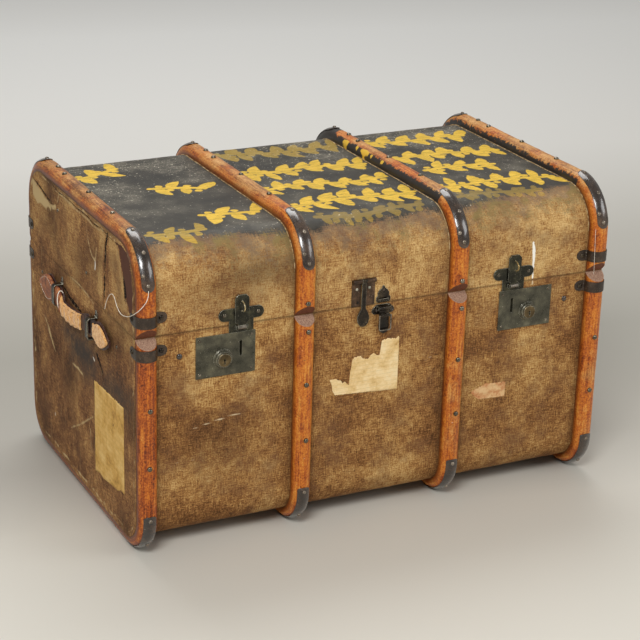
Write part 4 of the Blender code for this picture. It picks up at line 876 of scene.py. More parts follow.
def add_loop(name, path, first, second, radius, body, slot, material, closed=True):
    """A tube round a path: path, plus radius times the cosine times first and the sine times second."""
    turn = np.arange(8)[:, None] / 8 * math.tau
    ring = first[:, None] * np.cos(turn) + second[:, None] * np.sin(turn)
    points = path[:, None] + radius * ring
    rows = len(path)
    faces = grid_faces(rows + closed, 8, ring=True) % (rows * 8)
    if not closed:
        faces = faces.tolist() + [list(range(8)), list(range(rows * 8 - 1, rows * 8 - 9, -1))]
    return add_piece(name, points, faces, body, material)


lid_canvas = add_canvas("lid_canvas", "lid", painted_canvas, 3.2 * MM, lid_marks)
lock_holes = []
for side in ("left", "right"):
    low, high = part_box(f"lock_plate_{side}")
    lock_holes.append(((low.x + 7 * MM, low.z + 4 * MM), (high.x - 7 * MM, high.z - 4 * MM)))
body_canvas = add_canvas("body_canvas", "body", brown_canvas, 4.0 * MM, body_marks, lock_holes)
# The canvas edge that stands up beside three of the lid's slats, in pale thread colour: partly a painted
# highlight along it
for place in ("left", "right", "right_end"):
    along = np.linspace(LID_WALL, LID_WALL + 1.8 * LID_CORNER + LID_FLAT, 120)
    x = SLAT_X[place] - SLAT_HALF - 1.1 * MM + 0.25 * MM * np.sin(along * 90)
    path = on_board("lid", x, along, SKIN + 0.3 * MM)
    upward = (on_board("lid", x, along, SKIN + 1.3 * MM) - path) / MM
    across = np.tile([1.0, 0, 0], (len(x), 1))
    name = f"lid_canvas_edge_{place}"
    add_loop(name, path, across, upward, 0.85 * MM, "lid", "canvas_board", canvas_fray, closed=False)
print("Canvas faces:", len(lid_canvas.data.polygons), "and", len(body_canvas.data.polygons))

# %% [markdown]
# ## The canvas on the ends, with its tears
#
# An end sheet is a grid of level rows, each as wide as the end board is at that height. The tears on the
# left end are measured lines. Along one, the sheet drops by the canvas's thickness inside the tear and
# curls up beside it, by an amount that falls off with the distance. The canvas of the long sides is turned
# over the ends, which leaves a low step a few millimetres in from the edge.

# %% End canvases
# All in (y, z) millimetres on the left end, lines with a radius
CRACKS = [
    [
        (-144, 522, 3.0), (-136, 500, 4.4), (-130, 472, 3.4), (-129, 447, 3.0), (-124, 417, 2.8),
        (-121, 391, 1.2),
    ],
    [(-76, 294, 0.8), (-88, 290, 4.2), (-100, 280, 3.6), (-109, 270, 2.4), (-117, 254, 0.4)],
    [(-209, 474, 1.0), (-216, 458, 4.0), (-219, 444, 5.0), (-219, 434, 2.0)],
    [(230, 504, 0.6), (204, 501, 1.8), (170, 494, 2.0), (144, 490, 1.6), (125, 488, 0.6)],
    [(78, 354, 2.0), (48, 345, 4.5), (20, 343, 4.0), (-8, 340, 2.0)],
    [
        (128, 523, 0.4), (90, 520, 1.0), (50, 522, 0.6), (0, 519, 1.1), (-48, 521, 0.8), (-80, 518, 1.1),
        (-113, 521, 0.9), (-172, 518, 0.6),
    ],
]
BARE = [
    [
        (-180, 520), (-192, 510), (-200, 496), (-205, 481), (-213, 469), (-217, 452), (-223, 439),
        (-236, 420), (-246, 420), (-252, 440), (-251, 462), (-249, 486), (-243, 502), (-232, 515),
        (-210, 522),
    ],
]
PALE = [
    [
        (241, 503), (226, 501), (204, 497), (177, 491), (147, 486), (137, 482), (140, 472), (153, 476),
        (168, 468), (196, 470), (214, 464), (238, 474),
    ],
    [(144, 484), (127, 487), (112, 492), (113, 484), (131, 478)],
]
RUBBED = [
    [
        (-107, 519), (-138, 522), (-127, 496), (-121, 465), (-118, 431), (-116, 399), (-100, 388), (-91, 412),
        (-92, 456),
    ],
    [
        (-150, 521), (-180, 521), (-198, 500), (-210, 470), (-222, 440), (-228, 415), (-184, 408),
        (-150, 420), (-140, 450),
    ],
    [(84, 384), (46, 386), (-5, 388), (-74, 378), (-68, 362), (-20, 352), (30, 354), (74, 362)],
]
SOOT = [
    [
        (92, 277), (54, 262), (42, 238), (-16, 236), (-72, 244), (-79, 262), (-74, 289), (-38, 307), (0, 300),
        (58, 292),
    ],
    [(-112, 256), (-156, 278), (-196, 280), (-238, 268), (-210, 245), (-155, 240), (-118, 243)],
]
SCUFFS = [
    [(112, 517, 0.4), (60, 518, 1.2), (0, 514.5, 1.0), (-48, 516.5, 1.3), (-80, 513, 0.8), (-108, 516, 1.2)],
    [(-41, 495, 0.6), (-49, 480, 1.0), (-58, 466, 1.0), (-69, 457, 1.0), (-80, 455, 1.6)],
    [(-89, 480, 0.4), (-85, 464, 1.2), (-82, 456, 0.6)],
    [(90, 521, 0.5), (99, 510, 1.2), (103, 499, 0.5)],
    [(46, 384, 0.6), (20, 386, 1.2), (-5, 386, 1.2), (-40, 382, 1.0), (-72, 377, 0.8)],
    [(176, 246, 0.8), (160, 236, 3.0), (133, 215, 1.0)],
    [(190, 262, 0.8), (172, 250, 2.4), (150, 232, 0.8)],
    [(43, 228, 0.8), (14, 229, 2.6), (-15, 226, 0.8)],
    [(57, 100, 0.4), (9, 126, 1.0), (-59, 169, 0.4)],
    [(-45, 141, 0.4), (-46, 118, 1.0), (-46, 97, 0.4)],
]
WHITE_DROPS = [
    [(-81, 456, 0.8), (-82, 449, 2.4), (-80, 440, 1.8)],
    [(143, 93, 1.0), (143, 88, 1.4)],
    [(-62, 281, 0.6), (-70, 276, 2.0)],
]
END_LINES = {"crack": CRACKS, "scuff": SCUFFS, "scar": WHITE_DROPS}
END_OUTLINES = {"bare": BARE, "pale": PALE, "soot": SOOT, "rubbed": RUBBED}


def end_outline_half(part, z):
    """Half the end board's depth at a height: the full depth, less what the rounded corner takes away."""
    radius = ROUNDING[part]
    into = np.clip(TURN[part] * (z - FLAT_Z[part]) + radius, 0, radius)
    return HALF_DEPTH - radius + np.sqrt(radius**2 - into**2)


def end_grid(part, cell):
    """Distances (y, z) of an end sheet. Its rows crowd together where the corner turns flat."""
    wall, corner, _ = board_lengths(part)
    walls = np.linspace(-0.05 * MM, wall, round(wall / cell) + 1)[:-1]
    corners = wall + ROUNDING[part] * np.sin(np.linspace(0, math.pi / 2, round(corner / cell) + 1))
    level = SEAM + TURN[part] * (SEAM_HALF_GAP + np.concatenate([walls, corners]))
    share = np.linspace(-1, 1, round(2 * HALF_DEPTH / cell) + 1)
    return share[None] * end_outline_half(part, level)[:, None], level[:, None]


def edge_distance(part, y, z):
    """How far inside the end's outline a point is, in metres."""
    radius = ROUNDING[part]
    beside = np.abs(y) - (HALF_DEPTH - radius)
    over = TURN[part] * (z - FLAT_Z[part]) + radius
    corner = np.hypot(np.maximum(beside, 0), np.maximum(over, 0))
    return radius - corner - np.minimum(np.maximum(beside, over), 0)


def add_end_canvas(part, side, cell, torn):
    """The sheet over an end board: with the photograph's marks where it is torn, and else only soiled."""
    y, z = np.broadcast_arrays(*end_grid(part, cell))
    place = np.stack([y, z], -1) / MM
    flat = on_end(side, y, z)
    found = dict.fromkeys([*END_LINES, *END_OUTLINES], np.full(y.shape, 1e3))
    if torn:
        found = {name: nearest_line(place, lines) for name, lines in END_LINES.items()}
        found |= {name: nearest_outline(place, outlines) for name, outlines in END_OUTLINES.items()}
    crack, bare = found["crack"], found["bare"]
    rim = 5 if part == "lid" else 9
    inward = edge_distance(part, y, z)
    border = inward / MM - rim - 1.8 * ripple(flat, 0.03, 8)
    frayed = np.abs(border) - 0.8 + 1.6 * ripple(flat, 0.02, 9)
    out = SKIN + 0.14 * MM * ripple(flat, 0.05, 7 + side) + 0.05 * MM * ripple(flat, 0.012, 12)
    out += 0.35 * MM / (1 + np.exp(border / 0.5))
    torn_edge = np.minimum(np.maximum(crack, -0.5), np.abs(bare))
    lifted = 1.9 * MM * (0.6 + 0.4 * ripple(flat, 0.03, 14)) * np.exp(-np.maximum(torn_edge, 0) / 5.0)
    out += np.where(np.minimum(crack, bare) > 0, lifted, 0)
    out = np.where(np.minimum(crack, bare) < -0.4, 0.1 * MM, out)
    soil = 0.5 * np.exp(-inward / (9 * MM)) * (part == "lid") + 0.3 * np.exp(-np.abs(z - SEAM) / (5 * MM))
    soil += 0.3 * ripple(flat, 0.16, 21 + side) + 0.25 * np.exp(-((y + HALF_DEPTH) / (16 * MM)))
    rub = 0.85 / (1 + np.exp(-(z / MM - 400) / 22)) + 0.9 * np.clip(-found["rubbed"] / 5, 0, 1)
    rub += 0.6 * (part == "body") * np.clip(1 - (border + rim) / (rim + 6), 0, 1)
    pale = np.minimum(np.minimum(found["pale"], found["scuff"]), frayed + 1.2)
    marks = {**found, "pale": pale, "soil": soil, "rub": rub}
    marks = {name: np.pad(marks[name], 1, mode="edge") for name in (*END_MARKS, "soil", "rub")}
    y, z, out = hemmed(y, z, out)
    faces = grid_faces(*y.shape)
    corner_map = np.stack([y, z], -1).reshape(-1, 2)[faces]
    name = f"{part}_end_canvas_{'left' if side < 0 else 'right'}"
    points = on_end(side, y, z, out)
    return add_piece(name, points, faces, part, torn_canvas, corner_map, marks, MIDDLE)


for part in PARTS:
    for side, cell in ((-1, 2.0 * MM), (1, 3.2 * MM)):
        sheet = add_end_canvas(part, side, cell, side < 0)
        print(sheet.name, len(sheet.data.polygons), "faces")

# %% [markdown]
# ## Slats
#
# A slat has the same section all the way: short straight sides and an arched crown, half an ellipse.
# Carried along the line round the box, the section makes the whole slat as one ring grid, so the bends cost
# nothing extra. At the seam its ends are cut on a slope, which is a shift along the slat that grows with
# the height of the point.

# %% Bentwood slats
# How far the slats' ends slope back over their height
BEVEL = {"lid": 20 * MM, "body": 14 * MM}
# How much tar lies on the lid's slats, how far their varnish is rubbed off and how fresh it is
TARRED = {"left_end": 0.2, "left": 0.34, "right": 0.95, "right_end": 0.72}
RUBBED_OFF = {"left_end": 0.58, "left": 0.5, "right": 0.32, "right_end": 0.62}
FRESH = {"left_end": -0.05, "left": 0.03, "right": 0.01, "right_end": 0.02}
# Yellow paint spilt on the third slat's side: lines of (across, along, radius) in millimetres
YELLOW_DABS = [
    [(-14, 512, 2.4), (-14, 498, 3.0)],
    [(-13.5, 463, 2.0), (-13.5, 459, 2.0)],
    [(-13.5, 444, 1.8), (-13, 430, 3.6), (-13.5, 418, 1.8)],
    [(-13.5, 408, 1.9), (-13.5, 404, 1.9)],
    [(-13.5, 368, 2.0), (-13.5, 363, 2.0)],
]


def crown_section(count, extra=0.0):
    """(across, out) over a slat, from foot to foot: up a side, over half an ellipse and down again."""
    angle = np.linspace(math.pi, 0, count)
    half = SLAT_HALF + extra
    across = np.concatenate([[-half], half * np.cos(angle), [half]])
    out = np.concatenate([[GAP], SLAT_SIDE + (SLAT_HEIGHT + extra - SLAT_SIDE) * np.sin(angle), [GAP]])
    return across, out


def run_length(first, second):
    """The length so far along a line, from its two coordinates."""
    return np.concatenate([[0], np.cumsum(np.hypot(np.diff(first), np.diff(second)))])


def slat_stations(part):
    """Distances along the board, closer together round the corners."""
    wall, corner, flat = board_lengths(part)
    walls, level = (14, 110) if part == "lid" else (40, 44)
    lengths = [(wall, walls), (corner, 18), (flat, level), (corner, 18), (wall, walls)]
    stations = [np.zeros(1)]
    for length, steps in lengths:
        stations.append(stations[-1][-1] + length * np.arange(1, steps + 1) / steps)
    return np.concatenate(stations)


def add_slat(part, place):
    """A slat: its section carried round the board, worn uneven, with its marks for the varnish."""
    across, out = crown_section(25)
    across, out = (np.append(values, values[-1]) for values in (across, out))
    across[-1] = 0
    along = slat_stations(part)[:, None] * np.ones(len(across))
    wall = board_lengths(part)[0]
    total = along[-1, 0]
    lift = BEVEL[part] * out / SLAT_HEIGHT
    along = along + lift * (np.clip(1 - along / wall, 0, 1) - np.clip(1 - (total - along) / wall, 0, 1))
    points = on_board(part, SLAT_X[place] + across, along, out)
    high = (out - GAP) / SLAT_HEIGHT
    crown = np.clip(high, 0, 1)
    shrink = crown * (0.28 * MM * ripple(points, 0.03, 31) + 0.1 * MM * ripple(points, 0.008, 32) - 0.3 * MM)
    wavy = across * (1 - 0.01 * high * ripple(points, 0.05, 33))
    points = on_board(part, SLAT_X[place] + wavy, along, out + shrink)
    flat = np.zeros(along.shape)
    tar, dab = flat, flat + 1e3
    bleach = 0.08 + 0.25 * crown**2 * ripple(points, 0.14, 34)
    if part == "lid":
        first, leaning = (0.8, 1.3) if place in ("right", "right_end") else (0.4, 0.4)
        top = (along > LID_WALL + LID_CORNER * first) & (along < total - LID_WALL - 0.4 * LID_CORNER)
        lean = np.clip(0.5 - across / SLAT_HALF * leaning, 0, 1)
        tar = top * TARRED[place] * (1 - 0.75 * high**2) * lean
        bleach = bleach + RUBBED_OFF[place] * np.clip((along - LID_WALL) / LID_CORNER, 0, 1) * high
    if (part, place) == ("lid", "right"):
        behind = (along > total - LID_WALL - LID_CORNER - 8 * MM) & (along < total - LID_WALL - 8 * MM)
        tar = np.maximum(tar, 0.8 * behind)
        dab = nearest_line(np.stack([across + flat, along], -1) / MM, YELLOW_DABS)
    marks = {"crown": high + flat, "tar": tar, "bleach": bleach, "dab": dab, "fresh": FRESH[place] + flat}
    section = np.append(run_length(across, out), 0)
    section[-1] = section[-2] + SLAT_HALF
    node = f"{part}_slat_{place}"
    # The lid's slat ends, which face down, take the darker end grain: painted shade
    woods = [bentwood, stained_end_grain if part == "lid" else bare_end_grain]
    slat = add_grid(f"{node}_worn", points, part, "bentwood", woods, section, along[:, 1], True, marks)
    for face in slat.data.polygons[-2:]:
        face.material_index = 1
        face.use_smooth = False
    slat.data.set_sharp_from_angle(angle=math.radians(40))
    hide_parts(node)
    return slat


slats = [add_slat(part, place) for part in PARTS for place in PLACES]
print("Slats:", len(slats), "of", len(slats[0].data.polygons), "to", len(slats[-1].data.polygons), "faces")

# %% [markdown]
# ## Caps and straps
#
# Both are thin sheet iron bent over a slat, and both have round ends. A cap follows the crown across and
# the corner along, a strap follows the crown and then runs out flat as ears on the canvas and the end
# board. Each is one curved sheet that gets its thickness from a Solidify modifier. A round end comes from
# shortening each line of the grid by one minus the square root of one minus its share of the half width
# squared, which is a circle's drop.

# %% Iron caps
SHEET = 1.2 * MM
SHEET_OUT = GAP + SHEET
CAP_ROUND = {"lid": 8.5 * MM, "body": 3.5 * MM}
CAP_OVERRUN = 10 * MM
CAP_END = math.radians(5)
cap_low, cap_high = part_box("lid_cap_front_left")
CAP_HALF = (cap_high.x - cap_low.x) / 2


def cap_section(count):
    """(across, out) over the middle of the crown, as wide as a cap, from one of its edges to the other."""
    half = SLAT_HALF + SHEET_OUT
    start = math.acos(CAP_HALF / half)
    angle = np.linspace(math.pi - start, start, count)
    return half * np.cos(angle), SLAT_SIDE + (SLAT_HEIGHT + SHEET_OUT - SLAT_SIDE) * np.sin(angle)


def cap_span(part, back):
    """Where a cap starts and ends, along the board."""
    wall, corner, flat = board_lengths(part)
    start = wall + (corner + flat if back else 0)
    if part == "lid":
        return start + CAP_END * ROUNDING[part], start + corner - CAP_END * ROUNDING[part]
    return start - CAP_OVERRUN, start + corner + CAP_OVERRUN


def add_cap(part, place, back):
    """A cap with round ends and shallow dents. The lower ones at the back have no solid of their own."""
    across, out = cap_section(21)
    start, end = cap_span(part, back)
    reach = np.clip(np.abs(across) / CAP_HALF, 0, 1)
    cut = CAP_ROUND[part] * (1 - np.sqrt(1 - reach**2))
    along = start + cut + np.linspace(0, 1, 29)[:, None] * (end - start - 2 * cut)
    points = on_board(part, SLAT_X[place] + across, along, out)
    dents = 0.16 * MM * ripple(points, 0.022, 51) + 0.06 * MM * ripple(points, 0.006, 52) - 0.1 * MM
    points = on_board(part, SLAT_X[place] + across, along, out + dents)
    node = f"{part}_cap_{'back' if back else 'front'}_{place}"
    lines = run_length(across, out), along[:, 10]
    cap = add_grid(f"{node}_japanned", points, part, "japanned_iron", japanned_iron, *lines, inside=MIDDLE)
    give_thickness(cap, SHEET)
    if part == "lid" or not back:
        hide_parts(node)
    return cap


caps = [add_cap(part, place, back) for part in PARTS for back in (False, True) for place in PLACES]
print("Caps:", len(caps))

# %% Iron straps
STRAP_EAR = 19 * MM


def add_strap(part, place, back):
    """A strip along a line in the (across, out) plane: an ear, the crown, and an ear down the end board."""
    node = f"{part}_strap_{'back' if back else 'front'}_{'left' if SLAT_X[place] < 0 else 'right'}"
    low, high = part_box(node)
    centre, half = (low.z + high.z) / 2, (high.z - low.z) / 2
    crown_across, crown_out = crown_section(25, SHEET_OUT)
    edge = SLAT_HALF + SHEET_OUT
    ear = np.linspace(-edge - STRAP_EAR, -edge - 2 * MM, 8)
    across = np.concatenate([ear, crown_across, np.full(9, edge)])
    out = np.concatenate([np.full(8, SHEET_OUT), crown_out, np.linspace(-2 * MM, -STRAP_EAR, 9)])
    out[8] = 2.2 * MM
    length = run_length(across, out)
    up = np.linspace(-1, 1, 13)[:, None]
    cut = half * (1 - np.sqrt(1 - up**2))
    share = np.linspace(0, 1, 60)
    at = cut + share * (length[-1] - 2 * cut)
    x = SLAT_X[place] + (1 if SLAT_X[place] > 0 else -1) * np.interp(at, length, across)
    uneven = ripple(np.stack([at, 0 * at + centre, up * half + 0 * at], -1), 0.02, 61)
    y = (HALF_DEPTH + (np.interp(at, length, out) + 0.12 * MM * uneven)) * (1 if back else -1)
    points = np.stack([x, y, centre + half * up + 0 * at], -1)
    lines = length[-1] * share, half * up[:, 0]
    strap = add_grid(f"{node}_worn", points, part, "japanned_iron", strap_iron, *lines, inside=MIDDLE)
    give_thickness(strap, SHEET)
    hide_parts(node)
    return strap


straps = [add_strap(part, place, back) for part in PARTS for place in PLACES[::3] for back in (False, True)]
print("Straps:", len(straps))

# %% [markdown]
# ## Locks, hasps, clasp and hinges
#
# These solids already have the right shape, but their edges are knife-sharp, and real stamped metal catches
# the light along its edges. A bevel can't be put on the imported mesh, which is loose triangles. So a copy is
# merged, its flat faces are joined up again, and a narrow bevel goes on every real edge. The bevel is coloured
# bright: partly worn metal, partly a painted highlight.


# %% Softened copies of the hard solids
def soften(node, material, width):
    """A merged copy of a solid with its edges rounded and coloured bright, partly as wear and partly as a
    painted highlight, which stands for it.
    """
    shape = bmesh.new()
    shape.from_mesh(frame["nodes"][node].data)
    bmesh.ops.remove_doubles(shape, verts=shape.verts, dist=1e-6)
    bmesh.ops.dissolve_limit(shape, angle_limit=math.radians(0.4), verts=shape.verts, edges=shape.edges)
    bmesh.ops.recalc_face_normals(shape, faces=shape.faces)
    mesh = bpy.data.meshes.new(f"{node}_softened")
    shape.to_mesh(mesh)
    shape.free()
    mesh.materials.clear()
    mesh.materials.append(material)
    mesh.materials.append(edge_wear_and_highlight)
    mesh.shade_smooth()
    mesh.set_sharp_from_angle(angle=math.radians(38))
    piece = new_object(f"{node}_softened", mesh)
    # The bevel takes the second material: bright edges, partly wear and partly a painted highlight
    round_edges(piece, width, 38).material = 1
    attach(piece, BODY_OF[node])
    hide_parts(node)
    return piece


def tint_faces(piece, material, chosen):
    """Gives the chosen faces of a solid's copy another material."""
    faces = piece.data.polygons
    index = np.zeros(len(faces), int)
    faces.foreach_get("material_index", index)
    index[chosen] = len(piece.data.materials)
    piece.data.materials.append(material)
    faces.foreach_set("material_index", index)


# Nodes, on both sides or alone, with their material, their slot and their edges' width in millimetres
HARDWARE = [
    ("lock_plate_{}", lock_steel, "lock_steel", 0.6),
    ("key_drum_{}", lock_face, "lock_face", 0.3),
    ("hasp_base_{}", hasp_steel, "lock_steel", 0.6),
    ("hasp_flap_{}", hasp_steel, "lock_steel", 0.6),
    ("body_hinge_{}", japanned_iron, "japanned_iron", 0.3),
    ("lid_hinge_{}", japanned_iron, "japanned_iron", 0.3),
    ("handle_loop_{}_front", clasp_iron, "japanned_iron", 0.4),
    ("handle_loop_{}_back", clasp_iron, "japanned_iron", 0.4),
    ("clasp_bracket", clasp_iron, "japanned_iron", 0.25),
    ("clasp_catch", clasp_iron, "japanned_iron", 0.25),
    ("clasp_lever", clasp_iron, "japanned_iron", 0.25),
    ("clasp_bail", wire_steel, "lock_steel", 0.25),
    ("tongue_bracket", rusty_iron, "rusty_iron", 0.25),
    ("hanging_tongue", clasp_iron, "japanned_iron", 0.25),
]
softened = {}
for pattern, material, slot, width in HARDWARE:
    for node in dict.fromkeys(pattern.format(side) for side in ("left", "right")):
        softened[node] = soften(node, material, width * MM)
# A flap's half round staple is rubbed down to its brass, and its sleeve and lip are bright steel, partly a
# painted highlight where they glint
for side in ("left", "right"):
    flap = softened[f"hasp_flap_{side}"]
    low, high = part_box(f"hasp_flap_{side}")
    centres = np.array([face.center for face in flap.data.polygons])
    tint_faces(flap, brass, centres[:, 1] < low.y + 11 * MM)
    tint_faces(flap, wire_steel, (centres[:, 2] < low.z + 6.4 * MM) | (centres[:, 2] > high.z - 2.3 * MM))
boards = [f"{part}_{board}" for part in PARTS for board in ("shell", "end_left", "end_right")]
for node in boards:
    frame["nodes"][node].material_slots[0].material = lining
frame["nodes"]["body_dust_lip"].material_slots[0].material = plain_wood
print("Softened:", len(softened), "solids")

# %% [markdown]
# ## Rivets and nails
#
# A domed head is the same turned shape every time, so it is worked out once, as rings of points round an
# axis, and then set down at every place in one sum: place, plus height times the direction out, plus the
# two directions across. Heads that ride on the same body and have the same size are one piece.


# %% Domed heads
def repeat_faces(one, size, count):
    """The faces of one small shape, over again for a row of them that have so many points each."""
    return [[index + start for index in face] for start in np.arange(count) * size for face in one]


def add_heads(name, places, outwards, radius, rise, body, material, slot="japanned_iron"):
    """Domed heads, sized in millimetres. Their profile is a short rim and a quarter of an ellipse."""
    places = np.asarray(places, float)
    outwards = np.broadcast_to(np.asarray(outwards, float), places.shape)
    outwards = outwards / np.linalg.norm(outwards, axis=1, keepdims=True)
    helper = np.where(np.abs(outwards[:, 2:]) > 0.8, [[1.0, 0, 0]], [[0, 0, 1.0]])
    first = np.cross(outwards, helper)
    first /= np.linalg.norm(first, axis=1, keepdims=True)
    second = np.cross(outwards, first)
    sweep = np.linspace(0, math.pi / 2, 6)[:-1]
    widths = radius * MM * np.concatenate([[1.0], np.cos(sweep)])[:, None, None]
    heights = rise * MM * np.concatenate([[-0.6], 0.12 + 0.88 * np.sin(sweep)])[:, None, None]
    sides = 14
    turn = np.arange(sides)[:, None] / sides * math.tau
    circle = first[:, None] * np.cos(turn) + second[:, None] * np.sin(turn)
    rings = places[:, None, None] + outwards[:, None, None] * heights + circle[:, None] * widths
    poles = places + outwards * rise * MM
    points = np.concatenate([rings.reshape(len(places), -1, 3), poles[:, None]], 1)
    count = len(widths) * sides
    one = grid_faces(len(widths), sides, ring=True).tolist()
    one += [[count - sides + i, count - sides + (i + 1) % sides, count] for i in range(sides)]
    one.append(list(range(sides))[::-1])
    return add_piece(name, points, repeat_faces(one, count + 1, len(places)), body, material)


def on_slat(part, place, across, along, extra=0.0):
    """A place on a slat's crown, or on the iron over it, and the direction out of it there."""
    half, rise = SLAT_HALF + extra, SLAT_HEIGHT + extra - SLAT_SIDE
    out = SLAT_SIDE + rise * math.sqrt(max(1 - (across / half) ** 2, 0))
    here = on_board(part, SLAT_X[place] + across, along, out)
    upward = on_board(part, SLAT_X[place] + across, along, out + 1 * MM) - here
    direction = upward / MM * ((out - SLAT_SIDE) / rise**2) + np.array([across / half**2, 0, 0])
    return here, direction


# Heads over the slats, at (across, along) in millimetres. Those on the back mirror those on the front
LID_CAP_HEADS = [(1.0, 129), (-7.6, 101), (-1.0, 89), (0.5, 168)]
cap_heads, nail_heads = {part: [] for part in PARTS}, {part: [] for part in PARTS}
foot_nails = []
for place in PLACES:
    for back in (False, True):
        for across, along in LID_CAP_HEADS:
            along = TOTAL["lid"] - along * MM if back else along * MM
            cap_heads["lid"].append(on_slat("lid", place, across * MM, along, SHEET_OUT))
        start, end = cap_span("body", back)
        for across, along in ((0.0, end - 9 * MM if back else start + 8 * MM), (2.0, (start + end) / 2)):
            cap_heads["body"].append(on_slat("body", place, across * MM, along, SHEET_OUT))
    outer = place.endswith("_end")
    for across, along in [(0.8, 117), (-0.6, 217)] if outer else [(0.8, 23.5), (-0.6, 116), (1.2, 216)]:
        nail_heads["body"].append(on_slat("body", place, across * MM, along * MM))
        nail_heads["body"].append(on_slat("body", place, -across * MM, TOTAL["body"] - along * MM))
    for along in (90, 210, 330):
        foot_nails.append(on_slat("body", place, 0, sum(board_lengths("body")[:2]) + along * MM))
    if not outer:
        nail_heads["lid"].append(on_slat("lid", place, -1.0 * MM, 25 * MM))
        nail_heads["lid"].append(on_slat("lid", place, 1.0 * MM, TOTAL["lid"] - 25 * MM))
    for along in (252, 368, 480, 524):
        nail_heads["lid"].append(on_slat("lid", place, (along % 5 - 2) * MM, along * MM))
for part in PARTS:
    add_heads(f"{part}_cap_rivets", *zip(*cap_heads[part]), 3.4, 2.3, part, cap_rivet_highlight_iron)
    add_heads(f"{part}_slat_nails", *zip(*nail_heads[part]), 4.4, 3.2, part, rivet_iron, "lock_steel")
add_heads("bottom_slat_nails", *zip(*foot_nails), 4.4, 1.0, "body", rivet_iron, "lock_steel")
print("Heads on the slats:", sum(len(heads) for heads in (*cap_heads.values(), *nail_heads.values())))

# %% Heads on the plates and the canvas
FRONT, BACK, LEFT = (0, -1, 0), (0, 1, 0), (-1, 0, 0)
PLATE_OUT = GAP + 1.8 * MM
catch_low, catch_high = (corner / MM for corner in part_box("clasp_catch"))
CATCH_SPOTS = [((catch_low.x + catch_high.x) / 2, catch_high.z - 8)]
CLASP_SPOTS = [(-8.498, SEAM / MM - 12.181), (19.829, SEAM / MM - 14.069)]
# Each name, the places (x, z) in millimetres and the distance out, and then what add_heads takes
FRONT_HEADS = [
    ("canvas_studs", [(-357.9, 343.9), (358.8, 340.1)], SKIN, 5.0, 3.0, "body", japanned_iron),
    # The tongue's two upper rivets take the bright edge colour: a painted highlight
    ("tongue_rivets", [(-46.7, 413.6), (-23.7, 414.1)], PLATE_OUT, 2.4, 1.2, "lid", edge_wear_and_highlight, "rusty_iron"),
    ("tongue_dark_rivets", [(-44.6, 390.4)], PLATE_OUT, 2.4, 1.0, "lid", clasp_iron, "rusty_iron"),
    ("clasp_rivets", CLASP_SPOTS, PLATE_OUT, 2.6, 1.2, "body", japanned_iron),
    ("catch_rivets", CATCH_SPOTS, PLATE_OUT, 1.9, 0.9, "lid", japanned_iron),
]
for side in ("left", "right"):
    low, high = (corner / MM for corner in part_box(f"lock_plate_{side}"))
    spots = [(x, z) for x in (low.x + 6.5, high.x - 6.5) for z in (low.z + 6.5, high.z - 6.5)]
    look = (GAP + 2.0 * MM, 2.5, 0.8, "body", rivet_iron, "lock_steel")
    FRONT_HEADS.append((f"lock_plate_rivets_{side}", spots, *look))
    low, high = (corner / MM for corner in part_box(f"hasp_base_{side}"))
    spots = [(x, high.z - 10.2) for x in (low.x + 10.2, high.x - 10.2)]
    look = (GAP + 2.2 * MM, 3.3, 1.6, "lid", rivet_iron, "lock_steel")
    FRONT_HEADS.append((f"hasp_rivets_{side}", spots, *look))
for name, spots, out, *look in FRONT_HEADS:
    add_heads(name, [(x * MM, -HALF_DEPTH - out, z * MM) for x, z in spots], FRONT, *look)
for side, sign in (("left", -1), ("right", 1)):
    outward = (sign, 0, 0)
    for part in PARTS:
        spots = []
        for where, way in (("front", -1), ("back", 1)):
            low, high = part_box(f"{part}_strap_{where}_{side}")
            z = (low.z + high.z) / 2
            ear_x = high.x - 9 * MM if sign < 0 else low.x + 9 * MM
            spots.append((ear_x, way * (HALF_DEPTH + SHEET_OUT), z))
            spots.append((sign * (HALF_LENGTH + SHEET_OUT), way * (HALF_DEPTH - 10 * MM), z))
        ways = [FRONT, outward, BACK, outward]
        add_heads(f"{part}_strap_rivets_{side}", spots, ways, 4.1, 2.6, part, clasp_iron)
        low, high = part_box(f"{part}_hinge_{side}")
        z = high.z - 7 * MM if part == "lid" else low.z + 7 * MM
        across = (low.x + 9 * MM, (low.x + high.x) / 2, high.x - 9 * MM)
        spots = [(x, HALF_DEPTH + PLATE_OUT, z) for x in across]
        add_heads(f"{part}_hinge_rivets_{side}", spots, BACK, 2.8, 1.2, part, japanned_iron)
    for where in ("front", "back"):
        low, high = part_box(f"handle_loop_{side}_{where}")
        x, y = sign * (HALF_LENGTH + PLATE_OUT), (low.y + high.y) / 2
        spots = [(x, y, z) for z in (low.z + 6 * MM, high.z - 6 * MM)]
        add_heads(f"loop_rivets_{side}_{where}", spots, outward, 2.4, 1.1, "body", japanned_iron)
# Bright studs on the left end, at (y, z) in millimetres
for part, spots in (("lid", [(-39, 420), (103, 485)]), ("body", [(-178, 341), (195, 343)])):
    places = [(-HALF_LENGTH - SKIN, y * MM, z * MM) for y, z in spots]
    add_heads(f"end_studs_{part}", places, LEFT, 3.2, 1.5, part, rivet_iron, "lock_steel")
print("Kinds of heads on the front:", len(FRONT_HEADS))

# %% [markdown]
# ## Paper labels
#
# Two old labels are left on the canvas, torn and blank, and a scrap of a third. A label is a sheet between
# two curves, its upper and its lower edge, each a height for every place across. The torn edge gets small
# steps, and the corners lift a little.


